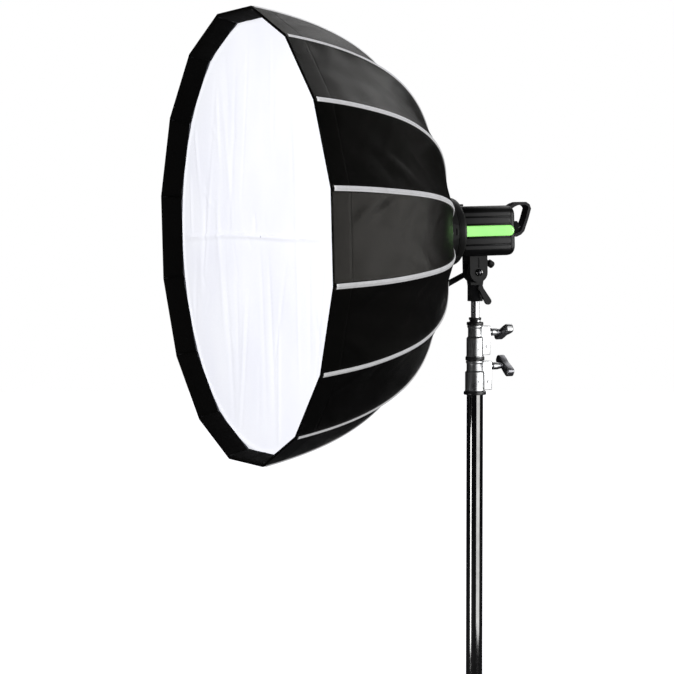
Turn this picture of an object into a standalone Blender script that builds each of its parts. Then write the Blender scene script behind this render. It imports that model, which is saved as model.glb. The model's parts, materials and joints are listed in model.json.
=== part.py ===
"""Round studio softbox on a flash head and a folding light stand.

Run with: blender --background --python part.py
Units are metres, +Z is up and the softbox faces -Y.
"""
import math

import bmesh
import bpy
from mathutils import Matrix, Vector

# ---- driving dimensions ------------------------------------------------------

GAP = 0.0003                        # clearance between touching pieces
NOSE_DOWN = math.radians(1.5)       # tilt of the head at rest
PIVOT_HEIGHT = 1.180                # tilt axis above the floor
OPTICAL_RISE = 0.080                # lamp axis above the tilt axis

# softbox, measured along the lamp axis from the tilt axis
RIBS = 16
RIM_FORWARD = 0.488
RIB_BEND = [                        # the curve that every rib follows, (radius, forward)
    (0.4250, RIM_FORWARD), (0.3694, 0.1769), (0.2357, 0.1649), (0.0815, 0.0945)]
CLOTH = 0.0012
ROD_RADIUS = 0.0025
ROD_DEPTH = CLOTH + GAP + ROD_RADIUS + 0.0002
HINGE_RADIUS = 0.074
HINGE_FORWARD = 0.0985
LUG_RADIUS = 0.0045
LUG_WIDTH = 0.008
CANOPY_ROWS = 10                    # straight stretches from the rim to the hub
LIP_DEPTH = 0.038
DIFFUSER_DEPTH = 0.040
DIFFUSER_RADIUS = 0.4065
BAFFLE_RADIUS = 0.250
BAFFLE_FORWARD = 0.290

# flash head
HEAD_WIDTH = 0.092
HEAD_HEIGHT = 0.096
HEAD_FRONT = 0.045
HEAD_SEAM = -0.055
HEAD_REAR = -0.068
HEAD_CORNER = 0.016
RING_RADIUS = 0.0650
RING_FRONT = 0.0657
STRIPE_HEIGHT = 0.0206
HANDLE_WIDTH = 0.024
HANDLE_THICKNESS = 0.006
BUTTON_RADIUS = 0.0042
BUTTON_PLACES = {"test_button": (0.0275, 0.0290), "lamp_button": (-0.0280, -0.0190)}

# tilt bracket, about the tilt axis
YOKE_HALF_WIDTH = 0.016
YOKE_RADIUS = 0.019
TONGUE_HALF_WIDTH = 0.0077
SOCKET_RADIUS = 0.0148
SOCKET_LOW = -0.0555
SOCKET_TOP = -0.024
SPIGOT_RADIUS = 0.008

# stand, heights above the floor
COLUMN_RADIUS = 0.015
MID_RADIUS = 0.0125
TOP_RADIUS = 0.010
TUBE_WALL = 0.0014
COLUMN_BOTTOM = 0.060
COLUMN_TOP = 0.9432
LOWER_COLLAR_TOP = 1.009
UPPER_COLLAR_LOW = 1.0101
UPPER_COLLAR_TOP = 1.0777
CAP_LOW = 1.078
CAP_TOP = 1.093
UPPER_KNOB_HEIGHT = 1.064
LOWER_KNOB_HEIGHT = 0.998
UPPER_BOSS_REACH = 0.0302
LOWER_BOSS_REACH = 0.0337

# legs
LEG_LENGTH = 0.600
LEG_SPREAD = math.radians(54.8)     # from the vertical
LEG_RADIUS = 0.009
FOOT_RADIUS = 0.0125
TOE_RADIUS = 0.008                  # the foot's flat end
LEG_HINGE_RADIUS = 0.038
BRACE_HINGE_RADIUS = 0.035
BRACE_HINGE_HEIGHT = 0.100
BRACE_POINT = 0.300                 # distance down the leg to its brace pivot
BRACE_HALF_GAP = 0.0095
BRACE_PLATE = 0.002
LEG_ANGLES = [math.radians(a) for a in (-90, 30, 150)]
LEG_COLLAR_RADIUS = 0.0255

# values that follow from the ones above
LEG_HINGE_HEIGHT = LEG_LENGTH * math.cos(LEG_SPREAD) + TOE_RADIUS * math.sin(LEG_SPREAD)
LEG_REACH = LEG_HINGE_RADIUS + LEG_LENGTH * math.sin(LEG_SPREAD)
FRONT_REACH = LEG_REACH + TOE_RADIUS * math.cos(LEG_SPREAD)
REAR_REACH = LEG_REACH / 2 + TOE_RADIUS * 0.9
STAND_Y = (FRONT_REACH - REAR_REACH) / 2        # centres the whole object on the origin


# ---- helpers -----------------------------------------------------------------

def clear_scene():
    for obj in list(bpy.data.objects):
        bpy.data.objects.remove(obj)


def new_collection(name):
    collection = bpy.data.collections.new(name)
    bpy.context.scene.collection.children.link(collection)
    return collection


def paint(obj, colour, roughness, metallic=0.0, alpha=1.0):
    material = bpy.data.materials.new(obj.name)
    material.use_nodes = True
    shader = material.node_tree.nodes["Principled BSDF"]
    shader.inputs["Base Color"].default_value = (*colour, 1.0)
    shader.inputs["Roughness"].default_value = roughness
    shader.inputs["Metallic"].default_value = metallic
    shader.inputs["Alpha"].default_value = alpha
    material.diffuse_color = (*colour, alpha)
    obj.data.materials.clear()
    obj.data.materials.append(material)
    return obj


def place(obj, location=(0, 0, 0), rotation=(0, 0, 0), parent=None, cutter=False):
    """Link an object to its collection and set where it stands."""
    for collection in list(obj.users_collection):
        collection.objects.unlink(obj)
    (cutters if cutter else parts).objects.link(obj)
    if cutter:
        obj.hide_render = True
        obj.display_type = "WIRE"
    obj.parent = parent
    obj.location = location
    obj.rotation_euler = rotation
    return obj


def empty(name, location, rotation=(0, 0, 0), parent=None):
    obj = bpy.data.objects.new(name, None)
    obj.empty_display_size = 0.03
    return place(obj, location, rotation, parent)


def mesh_object(name, bm, smooth=False):
    mesh = bpy.data.meshes.new(name)
    for face in bm.faces:
        face.smooth = smooth
    bm.to_mesh(mesh)
    bm.free()
    return bpy.data.objects.new(name, mesh)


def block(name, low, high):
    """A box between two corners."""
    bm = bmesh.new()
    bmesh.ops.create_cube(bm, size=1.0)
    centre = [(a + b) / 2 for a, b in zip(low, high)]
    size = [b - a for a, b in zip(low, high)]
    bmesh.ops.scale(bm, vec=size, verts=bm.verts)
    bmesh.ops.translate(bm, vec=centre, verts=bm.verts)
    return mesh_object(name, bm)


def rod(name, start, end, radius, end_radius=None, sides=16):
    """A cylinder or cone between two points."""
    start = Vector(start)
    end = Vector(end)
    bm = bmesh.new()
    bmesh.ops.create_cone(
        bm, cap_ends=True, segments=sides, radius1=radius,
        radius2=radius if end_radius is None else end_radius, depth=(end - start).length)
    turn = (end - start).to_track_quat("Z", "Y").to_matrix().to_4x4()
    bmesh.ops.transform(bm, matrix=Matrix.Translation((start + end) / 2) @ turn, verts=bm.verts)
    return mesh_object(name, bm, smooth=True)


def turned(name, profile, steps=24, closed=False):
    """Spin a profile of (radius, height) points about Z, outer side first."""
    bm = bmesh.new()
    verts = [bm.verts.new((r, 0, z)) for r, z in profile]
    for a, b in zip(verts, verts[1:]):
        bm.edges.new((a, b))
    if closed:
        bm.edges.new((verts[-1], verts[0]))
    obj = mesh_object(name, bm)
    spin = obj.modifiers.new("spin", "SCREW")
    spin.steps = steps
    spin.render_steps = steps
    spin.use_merge_vertices = True
    spin.merge_threshold = 0.00001
    spin.use_smooth_shade = True
    return obj


def plate(name, outline, low, high):
    """A flat outline in XY, filled and raised from low to high along Z."""
    curve = bpy.data.curves.new(name, "CURVE")
    curve.dimensions = "2D"
    curve.fill_mode = "BOTH"
    curve.extrude = (high - low) / 2
    spline = curve.splines.new("POLY")
    spline.points.add(len(outline) - 1)
    for point, (x, y) in zip(spline.points, outline):
        point.co = (x, y, 0, 1)
    spline.use_cyclic_u = True
    obj = bpy.data.objects.new(name, curve)
    parts.objects.link(obj)
    obj.location.z = (low + high) / 2
    return to_mesh(obj)


def to_mesh(obj):
    """Replace a curve or a modified object with its welded mesh, made at the origin."""
    depsgraph = bpy.context.evaluated_depsgraph_get()
    depsgraph.update()
    mesh = bpy.data.meshes.new_from_object(obj.evaluated_get(depsgraph))
    bm = bmesh.new()
    bm.from_mesh(mesh)
    bmesh.ops.remove_doubles(bm, verts=bm.verts, dist=0.000005)
    bmesh.ops.recalc_face_normals(bm, faces=bm.faces)
    bmesh.ops.transform(bm, matrix=obj.matrix_world, verts=bm.verts)
    bm.to_mesh(mesh)
    bm.free()
    name = obj.name
    bpy.data.objects.remove(obj)
    result = bpy.data.objects.new(name, mesh)
    mesh.name = name
    return result


def swing(obj, axis, angle):
    """Turn an object's mesh about an axis through its origin."""
    obj.data.transform(Matrix.Rotation(angle, 4, axis))
    return obj


def boolean(obj, other, operation):
    """Join or cut an object with another one, which moves to the cutters."""
    other.name = f"{obj.name}_{operation.lower()}"
    place(other, parent=obj, cutter=True)
    step = obj.modifiers.new(operation.lower(), "BOOLEAN")
    step.operation = operation
    step.object = other
    return obj


def unite(obj, other):
    return boolean(obj, other, "UNION")


def cut(obj, other):
    return boolean(obj, other, "DIFFERENCE")


def round_edges(obj, width, segments=2):
    bevel = obj.modifiers.new("round", "BEVEL")
    bevel.width = width
    bevel.segments = segments
    bevel.limit_method = "ANGLE"
    bevel.angle_limit = math.radians(40)
    return obj


def arc(centre, radius, start, end, steps):
    """Points on an arc, angles in degrees."""
    turn = [math.radians(start + (end - start) * i / steps) for i in range(steps + 1)]
    return [(centre[0] + radius * math.cos(a), centre[1] + radius * math.sin(a)) for a in turn]


def rounded_rectangle(width, height, corner, steps=4):
    """Outline of a rectangle with round corners, about the origin."""
    x = width / 2 - corner
    y = height / 2 - corner
    outline = []
    for centre, start in (((x, y), 0), ((-x, y), 90), ((-x, -y), 180), ((x, -y), 270)):
        outline += arc(centre, corner, start, start + 90, steps)
    return outline


def strap_outline(path, thickness):
    """Outline of a strap of even thickness along an open path."""
    left = []
    right = []
    for i, point in enumerate(path):
        before = Vector(path[max(i - 1, 0)])
        after = Vector(path[min(i + 1, len(path) - 1)])
        along = (after - before).normalized()
        side = Vector((-along.y, along.x)) * thickness / 2
        left.append(tuple(Vector(point) + side))
        right.append(tuple(Vector(point) - side))
    return left + right[::-1]


def rib_curve(share, depth=0.0):
    """Radius and forward place on the ribs' curve, sunk inwards by a depth."""
    rim, first, second, hub = [Vector(point) for point in RIB_BEND]
    rest = 1 - share
    spot = (rim * rest ** 3 + first * 3 * rest ** 2 * share + second * 3 * rest * share ** 2
            + hub * share ** 3)
    along = (first - rim) * rest ** 2 + (second - first) * 2 * rest * share + (hub - second) * share ** 2
    along.normalize()
    return Vector((spot.x + along.y * depth, spot.y - along.x * depth))


def rib_direction(index):
    return math.radians(360 / RIBS * (index + 0.5))


def gored_skin(name, rows, thickness):
    """A shell with flat panels from rib to rib, through rows of (radius, forward)."""
    bm = bmesh.new()
    rings = []
    for radius, forward in rows:
        ring = []
        for i in range(RIBS):
            turn = rib_direction(i)
            ring.append(bm.verts.new((radius * math.cos(turn), radius * math.sin(turn), forward)))
        rings.append(ring)
    for upper, lower in zip(rings, rings[1:]):
        for i in range(RIBS):
            j = (i + 1) % RIBS
            bm.faces.new((upper[i], upper[j], lower[j], lower[i]))
    bmesh.ops.recalc_face_normals(bm, faces=bm.faces)
    obj = mesh_object(name, bm)
    skin = obj.modifiers.new("skin", "SOLIDIFY")
    skin.thickness = thickness
    skin.offset = -1
    skin.use_even_offset = True
    return obj


# ---- softbox -----------------------------------------------------------------

def canopy_rows(depth=0.0):
    """Points on the rib curve from the rim to the hub, sunk inwards by a depth."""
    return [rib_curve(i / CANOPY_ROWS, depth) for i in range(CANOPY_ROWS + 1)]


def make_canopy():
    canopy = gored_skin("canopy", canopy_rows(), CLOTH)
    paint(place(canopy, parent=lamp_axis), (0.010, 0.010, 0.011), 0.62)


def make_front_lip():
    rim, inner = canopy_rows(2 * ROD_DEPTH)[:2]
    slope = (inner - rim) / (rim.y - inner.y)
    rows = [rim + slope * (rim.y - RIM_FORWARD + depth) for depth in (0.003, LIP_DEPTH)]
    lip = gored_skin("front_lip", rows, 0.001)
    paint(place(lip, parent=lamp_axis), (0.008, 0.008, 0.008), 0.75)


def make_diffusers():
    for name, radius, forward in (
            ("front_diffuser", DIFFUSER_RADIUS, RIM_FORWARD - DIFFUSER_DEPTH),
            ("inner_diffuser", BAFFLE_RADIUS, BAFFLE_FORWARD)):
        outline = [(radius * math.cos(rib_direction(i)), radius * math.sin(rib_direction(i)))
                   for i in range(RIBS)]
        cloth = plate(name, outline, forward - CLOTH / 2, forward + CLOTH / 2)
        paint(place(cloth, parent=lamp_axis), (0.85, 0.86, 0.88), 0.7)


def make_hub():
    profile = [
        (0.0620, 0.1040), (0.0790, 0.1040), (0.0790, 0.0800), (0.0720, 0.0772),
        (0.0655, 0.0772), (0.0655, RING_FRONT + GAP), (0.0530, RING_FRONT + GAP), (0.0530, 0.0980)]
    hub = to_mesh(place(turned("hub_ring", profile, steps=32, closed=True)))
    place(hub, parent=lamp_axis)
    slots = bmesh.new()
    for i in range(RIBS):
        size = (0.020, LUG_WIDTH + 2 * GAP, 0.0165)
        centre = (0.0690 + size[0] / 2, 0, HINGE_FORWARD - LUG_RADIUS - 0.0005 + size[2] / 2)
        turn = Matrix.Rotation(rib_direction(i), 4, "Z") @ Matrix.Translation(centre)
        bmesh.ops.create_cube(slots, size=1.0, matrix=turn @ Matrix.Diagonal((*size, 1)))
    cut(hub, mesh_object("slots", slots))
    paint(hub, (0.012, 0.012, 0.013), 0.4)


def make_ribs():
    rows = canopy_rows(ROD_DEPTH)
    tip = rows[0].lerp(rows[1], 0.035)
    hinge = Vector((HINGE_RADIUS, HINGE_FORWARD))
    points = [row - hinge for row in [tip, *rows[1:-1]]] + [Vector((0, 0))]
    curve = bpy.data.curves.new("rib", "CURVE")
    curve.dimensions = "3D"
    curve.bevel_depth = ROD_RADIUS
    curve.bevel_resolution = 2
    curve.use_fill_caps = True
    spline = curve.splines.new("POLY")
    spline.points.add(len(points) - 1)
    for point, (out, forward) in zip(spline.points, points):
        point.co = (out, 0, forward, 1)
    curve_object = bpy.data.objects.new("rib", curve)
    parts.objects.link(curve_object)
    rib = place(to_mesh(curve_object))
    half = LUG_WIDTH / 2
    unite(rib, rod("lug", (0, -half, 0), (0, half, 0), LUG_RADIUS, sides=12))
    rib = to_mesh(rib)
    for i in range(RIBS):
        turn = rib_direction(i)
        name = f"rib_{i + 1:02d}"
        copy = bpy.data.objects.new(name, rib.data)
        place(copy, (HINGE_RADIUS * math.cos(turn), HINGE_RADIUS * math.sin(turn), HINGE_FORWARD),
              (0, 0, turn), lamp_axis)
    paint(copy, (0.35, 0.36, 0.38), 0.35, 0.9)


def make_hub_latches():
    """Two thumb slides on the back of the hub that free the folded ribs."""
    for side, name in ((1, "hub_latch_near"), (-1, "hub_latch_far")):
        latch = block(name, (0.0658, -0.006, 0.0722), (0.0765, 0.006, 0.0769))
        round_edges(latch, 0.0008, 1)
        turn = 0 if side > 0 else math.pi
        paint(place(latch, (0, 0, 0), (0, 0, turn), lamp_axis), (0.30, 0.30, 0.31), 0.35, 0.8)


# ---- flash head --------------------------------------------------------------

def make_head():
    outline = rounded_rectangle(HEAD_WIDTH, HEAD_HEIGHT, HEAD_CORNER)
    housing = plate("lamp_housing", outline, HEAD_SEAM, HEAD_FRONT)
    paint(place(housing, parent=lamp_axis), (0.020, 0.020, 0.020), 0.5)

    inner = rounded_rectangle(HEAD_WIDTH - 0.001, HEAD_HEIGHT - 0.001, HEAD_CORNER)
    cap = plate("rear_cap", inner, HEAD_REAR, HEAD_SEAM - GAP)
    place(cap, parent=lamp_axis)
    round_edges(cap, 0.0045, 2)
    for x, y in BUTTON_PLACES.values():
        pocket = (BUTTON_RADIUS + GAP, HEAD_REAR + 0.0035)
        cut(cap, rod("pocket", (x, y, HEAD_REAR - 0.01), (x, y, pocket[1]), pocket[0], sides=12))
    paint(cap, (0.020, 0.020, 0.020), 0.5)

    ring = turned("mount_ring", [
        (0.0520, RING_FRONT), (0.0625, RING_FRONT), (RING_RADIUS, RING_FRONT - 0.002),
        (RING_RADIUS, 0.0530), (0.0640, 0.0500), (0.0610, 0.0475), (0.0550, HEAD_FRONT + GAP),
        (0.0500, HEAD_FRONT + GAP)], steps=32, closed=True)
    paint(place(ring, parent=lamp_axis), (0.012, 0.012, 0.012), 0.45)


def make_stripes():
    """A thin bright strip along each side, round at the back."""
    half = STRIPE_HEIGHT / 2
    outline = [(0.0420, half)] + arc((-0.0517, 0), half, 90, 270, 6) + [(0.0420, -half)]
    for side, name in ((1, "side_stripe_near"), (-1, "side_stripe_far")):
        strip = plate(name, outline, 0.0, 0.0015)
        swing(strip, "Y", -math.pi / 2)
        out = HEAD_WIDTH / 2 + GAP + (0.0015 if side > 0 else 0.0)
        paint(place(strip, (side * out, 0, 0), parent=lamp_axis), (0.25, 0.82, 0.14), 0.4)


def make_handle():
    """A flat strap that leaves the back of the head at the top and comes back lower down."""
    back = HEAD_REAR - GAP
    path = [(back, 0.0405), (-0.0760, 0.0443), (-0.0840, 0.0486), (-0.0920, 0.0512), (-0.1085, 0.0510),
            (-0.1142, 0.0472), (-0.1168, 0.0414), (-0.1102, 0.0216), (-0.1010, -0.0012),
            (-0.0950, -0.0068), (-0.0865, -0.0103), (back, -0.0100)]
    strap = plate("carry_handle", strap_outline(path, HANDLE_THICKNESS),
                  -HANDLE_WIDTH / 2, HANDLE_WIDTH / 2)
    swing(strap, "Y", -math.pi / 2)
    place(strap, parent=lamp_axis)
    cut(strap, block("seat", (-0.03, -0.06, back), (0.03, 0.10, 0.03)))
    paint(strap, (0.018, 0.018, 0.018), 0.5)


def make_lamp():
    face = HEAD_FRONT + GAP
    bpy.ops.mesh.primitive_torus_add(
        major_radius=0.026, minor_radius=0.0035, major_segments=24, minor_segments=6)
    tube = bpy.context.object
    tube.name = "flash_tube"
    paint(place(tube, (0, 0, face + 0.0150), parent=lamp_axis), (0.90, 0.90, 0.88), 0.1)

    bulb = turned("modelling_lamp", [
        (0.0, face + 0.040), (0.006, face + 0.038), (0.010, face + 0.031), (0.010, face + 0.012),
        (0.007, face + 0.008), (0.007, face), (0.0, face)], steps=16)
    paint(place(bulb, parent=lamp_axis), (0.92, 0.90, 0.84), 0.2)

    outer = arc((0, 0), 1.0, 90, 0, 6)
    profile = [(0.043 * x, face + 0.052 * y) for x, y in outer]
    profile += [(0.041 * x, face + 0.050 * y) for x, y in outer[::-1]]
    dome = turned("glass_dome", profile, steps=24)
    paint(place(dome, parent=lamp_axis), (0.93, 0.94, 0.95), 0.08, alpha=0.35)


def make_rear_controls():
    back = HEAD_REAR - GAP
    screen = block("rear_screen", (-0.040, -0.006, back - 0.0015), (-0.016, 0.034, back))
    paint(place(screen, parent=lamp_axis), (0.02, 0.03, 0.04), 0.1)

    dial = turned("rear_dial", [
        (0.0, 0.0), (0.0105, 0.0), (0.0115, -0.0010), (0.0115, -0.0090), (0.0100, -0.0105),
        (0.0, -0.0105)], steps=20)
    paint(place(dial, (0.0275, 0.0060, back), parent=lamp_axis), (0.03, 0.03, 0.03), 0.35)

    for name, (x, y) in BUTTON_PLACES.items():
        edge = BUTTON_RADIUS
        button = turned(name, [
            (0.0, 0.0010), (edge, 0.0010), (edge, -0.0026), (edge - 0.0008, -0.0032),
            (0.0, -0.0032)], steps=12)
        paint(place(button, (x, y, HEAD_REAR), parent=lamp_axis), (0.05, 0.05, 0.05), 0.4)

    socket = block("power_socket", (-0.014, -0.040, back - 0.0065), (0.014, -0.022, back))
    cut(socket, block("mouth", (-0.0115, -0.0375, back - 0.010), (0.0115, -0.0245, back - 0.0012)))
    paint(place(socket, parent=lamp_axis), (0.02, 0.02, 0.02), 0.45)

    top = HEAD_HEIGHT / 2 + GAP
    release = block("mount_release", (-0.007, top, 0.026), (0.007, top + 0.004, 0.036))
    round_edges(release, 0.001, 1)
    paint(place(release, parent=lamp_axis), (0.04, 0.04, 0.04), 0.4)


# ---- tilt bracket ------------------------------------------------------------

def make_tilt_bracket():
    top = OPTICAL_RISE - HEAD_HEIGHT / 2 - GAP
    outline = arc((0, 0), YOKE_RADIUS, 180, 360, 12) + [(YOKE_RADIUS, top), (-YOKE_RADIUS, top)]
    yoke = plate("tilt_yoke", outline, -YOKE_HALF_WIDTH, YOKE_HALF_WIDTH)
    swing(yoke, "Y", math.pi / 2)
    place(yoke, parent=tilt_axis)
    slot = TONGUE_HALF_WIDTH + GAP
    cut(yoke, block("slot", (-slot, -0.03, -0.03), (slot, YOKE_RADIUS + 0.0015, 0.03)))
    paint(yoke, (0.018, 0.018, 0.018), 0.5)

    outline = arc((0, 0), 0.017, 0, 180, 12) + [(-0.012, -0.030), (0.012, -0.030)]
    adapter = plate("stand_adapter", outline, -TONGUE_HALF_WIDTH, TONGUE_HALF_WIDTH)
    swing(adapter, "X", math.pi / 2)
    swing(adapter, "Z", math.pi / 2)
    place(adapter, (0, STAND_Y, PIVOT_HEIGHT))
    unite(adapter, rod("socket", (0, 0, SOCKET_LOW), (0, 0, SOCKET_TOP), SOCKET_RADIUS, sides=24))
    bore = SPIGOT_RADIUS + GAP
    cut(adapter, rod("bore", (0, 0, SOCKET_LOW - 0.01), (0, 0, -0.0285), bore, sides=24))
    paint(adapter, (0.018, 0.018, 0.018), 0.5)


def make_levers():
    """The tilt clamp on the far side and the spigot clamp on the near side."""
    face = -YOKE_HALF_WIDTH - GAP
    lever = rod("tilt_lever", (face, 0, 0), (face - 0.011, 0, 0), 0.0105, 0.0090, sides=16)
    place(lever, parent=tilt_axis)
    unite(lever, rod("grip", (face - 0.0065, 0, 0.002), (-0.0310, -0.0400, 0.0860),
                     0.0052, 0.0064, sides=12))
    paint(lever, (0.018, 0.018, 0.018), 0.45)

    face = SOCKET_RADIUS + GAP
    clamp = rod("spigot_lever", (face, 0, 0), (face + 0.009, 0, 0), 0.0055, sides=14)
    place(clamp, (0, STAND_Y, PIVOT_HEIGHT - 0.0295))
    blade = plate("blade", arc((0, 0), 0.0045, 90, 270, 6) + arc((0.031, 0), 0.0066, -90, 90, 6),
                  face + 0.0030, face + 0.0085)
    swing(blade, "Y", math.pi / 2)
    unite(clamp, swing(blade, "X", math.radians(33)))
    paint(clamp, (0.018, 0.018, 0.018), 0.45)

    knob = turned("umbrella_knob", [
        (0.0, 0.0), (0.0035, 0.0), (0.0035, -0.0080), (0.0065, -0.0090), (0.0070, -0.0105),
        (0.0070, -0.0190), (0.0055, -0.0210), (0.0, -0.0210)], steps=16)
    place(knob, (0, 0.0235, -YOKE_RADIUS - 0.0023), (math.radians(-33), 0, 0), tilt_axis)
    paint(knob, (0.02, 0.02, 0.02), 0.4)


# ---- stand -------------------------------------------------------------------

def open_tube(name, radius, low, high):
    inner = radius - TUBE_WALL
    profile = [(radius, high), (radius, low), (inner, low), (inner, high)]
    return place(turned(name, profile, steps=24, closed=True), (0, STAND_Y, 0))


def make_risers():
    riser = turned("top_riser", [
        (0.0, 1.1500), (0.0070, 1.1500), (SPIGOT_RADIUS, 1.1488), (SPIGOT_RADIUS, CAP_LOW - GAP),
        (TOP_RADIUS, CAP_LOW - GAP), (TOP_RADIUS, 0.150), (TOP_RADIUS - TUBE_WALL, 0.150),
        (TOP_RADIUS - TUBE_WALL, CAP_LOW - 0.010), (0.0, CAP_LOW - 0.010)], steps=20)
    paint(place(riser, (0, STAND_Y, 0)), (0.62, 0.62, 0.63), 0.2, 1.0)

    bore = SPIGOT_RADIUS + GAP
    cap = turned("top_cap", [
        (bore, CAP_TOP), (0.0115, CAP_TOP), (0.0120, CAP_TOP - 0.0008), (0.0120, 1.0885),
        (0.0105, 1.0878), (0.0105, 1.0848), (0.0155, 1.0838), (0.0160, 1.0830), (0.0160, CAP_LOW + 0.0004),
        (0.0155, CAP_LOW), (bore, CAP_LOW)], steps=24, closed=True)
    paint(place(cap, (0, STAND_Y, 0)), (0.015, 0.015, 0.015), 0.4)

    tube = open_tube("mid_tube", MID_RADIUS, 0.120, UPPER_COLLAR_TOP - 0.001)
    paint(tube, (0.02, 0.02, 0.022), 0.15, 0.6)
    column = open_tube("column_tube", COLUMN_RADIUS, COLUMN_BOTTOM, COLUMN_TOP)
    paint(column, (0.015, 0.015, 0.017), 0.12, 0.6)


def clamp_collar(name, profile, boss, bore):
    """A cast collar with a split clamp boss at its back, boss as (low, high, reach)."""
    body = to_mesh(place(turned(name, profile, steps=24)))
    place(body, (0, STAND_Y, 0))
    low, high, reach = boss
    unite(body, block("boss", (-0.0075, 0.004, low), (0.0075, reach, high)))
    cut(body, rod("bore", (0, 0, profile[-1][1] - 0.01), (0, 0, profile[0][1] + 0.01), bore, sides=24))
    cut(body, block("split", (-0.0009, 0.008, low - 0.01), (0.0009, reach + 0.01, high + 0.01)))
    return body


def make_collars():
    upper = [
        (0.0, UPPER_COLLAR_TOP), (0.0150, UPPER_COLLAR_TOP), (0.0150, 1.0735), (0.0135, 1.0720),
        (0.0135, 1.0560), (0.0165, 1.0530), (0.0165, 1.0190), (0.0180, 1.0160),
        (0.0180, UPPER_COLLAR_LOW), (0.0, UPPER_COLLAR_LOW)]
    collar = clamp_collar("upper_collar", upper, (1.0200, 1.0765, UPPER_BOSS_REACH),
                          MID_RADIUS + GAP)
    paint(collar, (0.60, 0.60, 0.61), 0.25, 1.0)

    low = COLUMN_TOP + GAP
    lower = [
        (0.0, LOWER_COLLAR_TOP), (0.0175, LOWER_COLLAR_TOP), (0.0175, 1.0050), (0.0160, 1.0035),
        (0.0160, 0.9900), (0.0185, 0.9870), (0.0185, 0.9510), (0.0220, 0.9490), (0.0220, low),
        (0.0, low)]
    collar = clamp_collar("lower_collar", lower, (0.9520, 1.0080, LOWER_BOSS_REACH),
                          MID_RADIUS + GAP)
    paint(collar, (0.60, 0.60, 0.61), 0.25, 1.0)


def t_knob(name):
    """A wing knob on a stem along +Y, its stem starting at the origin."""
    knob = rod(name, (0, 0, 0), (0, 0.0100, 0), 0.0045, sides=12)
    place(knob)
    unite(knob, rod("hub", (0, 0.0040, 0), (0, 0.0170, 0), 0.0072, 0.0066, sides=14))
    unite(knob, rod("neck", (0, 0.0155, 0), (0, 0.0310, 0), 0.0058, 0.0050, sides=12))
    bar = plate("bar", rounded_rectangle(0.0560, 0.0170, 0.0062, 3), -0.0076, 0.0076)
    bar.data.transform(Matrix.Translation((0, 0.0325, 0)))
    unite(knob, bar)
    return to_mesh(knob)


def make_knobs():
    knob = t_knob("knob")
    for name, height, reach, turn in (
            ("upper_knob", UPPER_KNOB_HEIGHT, UPPER_BOSS_REACH, -20),
            ("lower_knob", LOWER_KNOB_HEIGHT, LOWER_BOSS_REACH, 33),
            ("leg_knob", LEG_HINGE_HEIGHT + 0.004, 0.0360, 0)):
        copy = bpy.data.objects.new(name, knob.data.copy())
        place(copy, (0, STAND_Y + reach + GAP, height), (0, math.radians(turn), 0))
        colour = 0.10 if name == "lower_knob" else 0.45
        paint(copy, (colour, colour, colour), 0.28, 1.0)


# ---- legs --------------------------------------------------------------------

def make_leg_collar():
    """The sliding collar that carries the leg hinges, about the leg hinge height."""
    body = to_mesh(place(turned("leg_collar", [
        (0.0, 0.030), (0.0230, 0.030), (LEG_COLLAR_RADIUS, 0.027), (LEG_COLLAR_RADIUS, -0.022),
        (0.0, -0.022)], steps=24)))
    place(body, (0, STAND_Y, LEG_HINGE_HEIGHT))
    for turn in LEG_ANGLES:
        ears = block("ears", (0.012, -0.0134, -0.012), (0.0480, 0.0134, 0.012))
        unite(body, swing(ears, "Z", turn))
    unite(body, block("boss", (-0.0085, 0.010, -0.006), (0.0085, 0.0360, 0.014)))
    for turn in LEG_ANGLES:
        gap = LEG_RADIUS + GAP
        slot = block("slot", (LEG_COLLAR_RADIUS + GAP, -gap, -0.02), (0.060, gap, 0.02))
        cut(body, swing(slot, "Z", turn))
    cut(body, rod("bore", (0, 0, -0.04), (0, 0, 0.04), COLUMN_RADIUS + GAP, sides=24))
    paint(body, (0.015, 0.015, 0.015), 0.45)


def make_base_collar():
    """The fixed collar at the foot of the column, with a tongue for each brace."""
    body = to_mesh(place(turned("base_collar", [
        (0.0, 0.125), (0.0215, 0.125), (0.0235, 0.122), (0.0235, 0.058), (0.0200, 0.054),
        (0.0, 0.054)], steps=24)))
    place(body, (0, STAND_Y, 0))
    for turn in LEG_ANGLES:
        half = BRACE_HALF_GAP - GAP
        tongue = block("tongue", (0.012, -half, BRACE_HINGE_HEIGHT - 0.008),
                       (0.0420, half, BRACE_HINGE_HEIGHT + 0.008))
        unite(body, swing(tongue, "Z", turn))
    cut(body, rod("bore", (0, 0, COLUMN_BOTTOM - GAP), (0, 0, 0.14), COLUMN_RADIUS + GAP, sides=24))
    paint(body, (0.015, 0.015, 0.015), 0.45)


def make_legs():
    leg = to_mesh(place(turned("leg", [
        (0.0, 0.0070), (LEG_RADIUS, 0.0070), (LEG_RADIUS, -0.560), (FOOT_RADIUS, -0.563),
        (FOOT_RADIUS, 0.010 - LEG_LENGTH), (TOE_RADIUS, -LEG_LENGTH), (0.0, -LEG_LENGTH)],
        steps=12)))
    for i, turn in enumerate(LEG_ANGLES):
        place_at = (LEG_HINGE_RADIUS * math.cos(turn),
                    STAND_Y + LEG_HINGE_RADIUS * math.sin(turn), LEG_HINGE_HEIGHT)
        copy = bpy.data.objects.new(f"leg_{i + 1}", leg.data.copy())
        place(copy, place_at, (0, -LEG_SPREAD, turn))
        paint(copy, (0.015, 0.015, 0.017), 0.2, 0.5)


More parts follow.
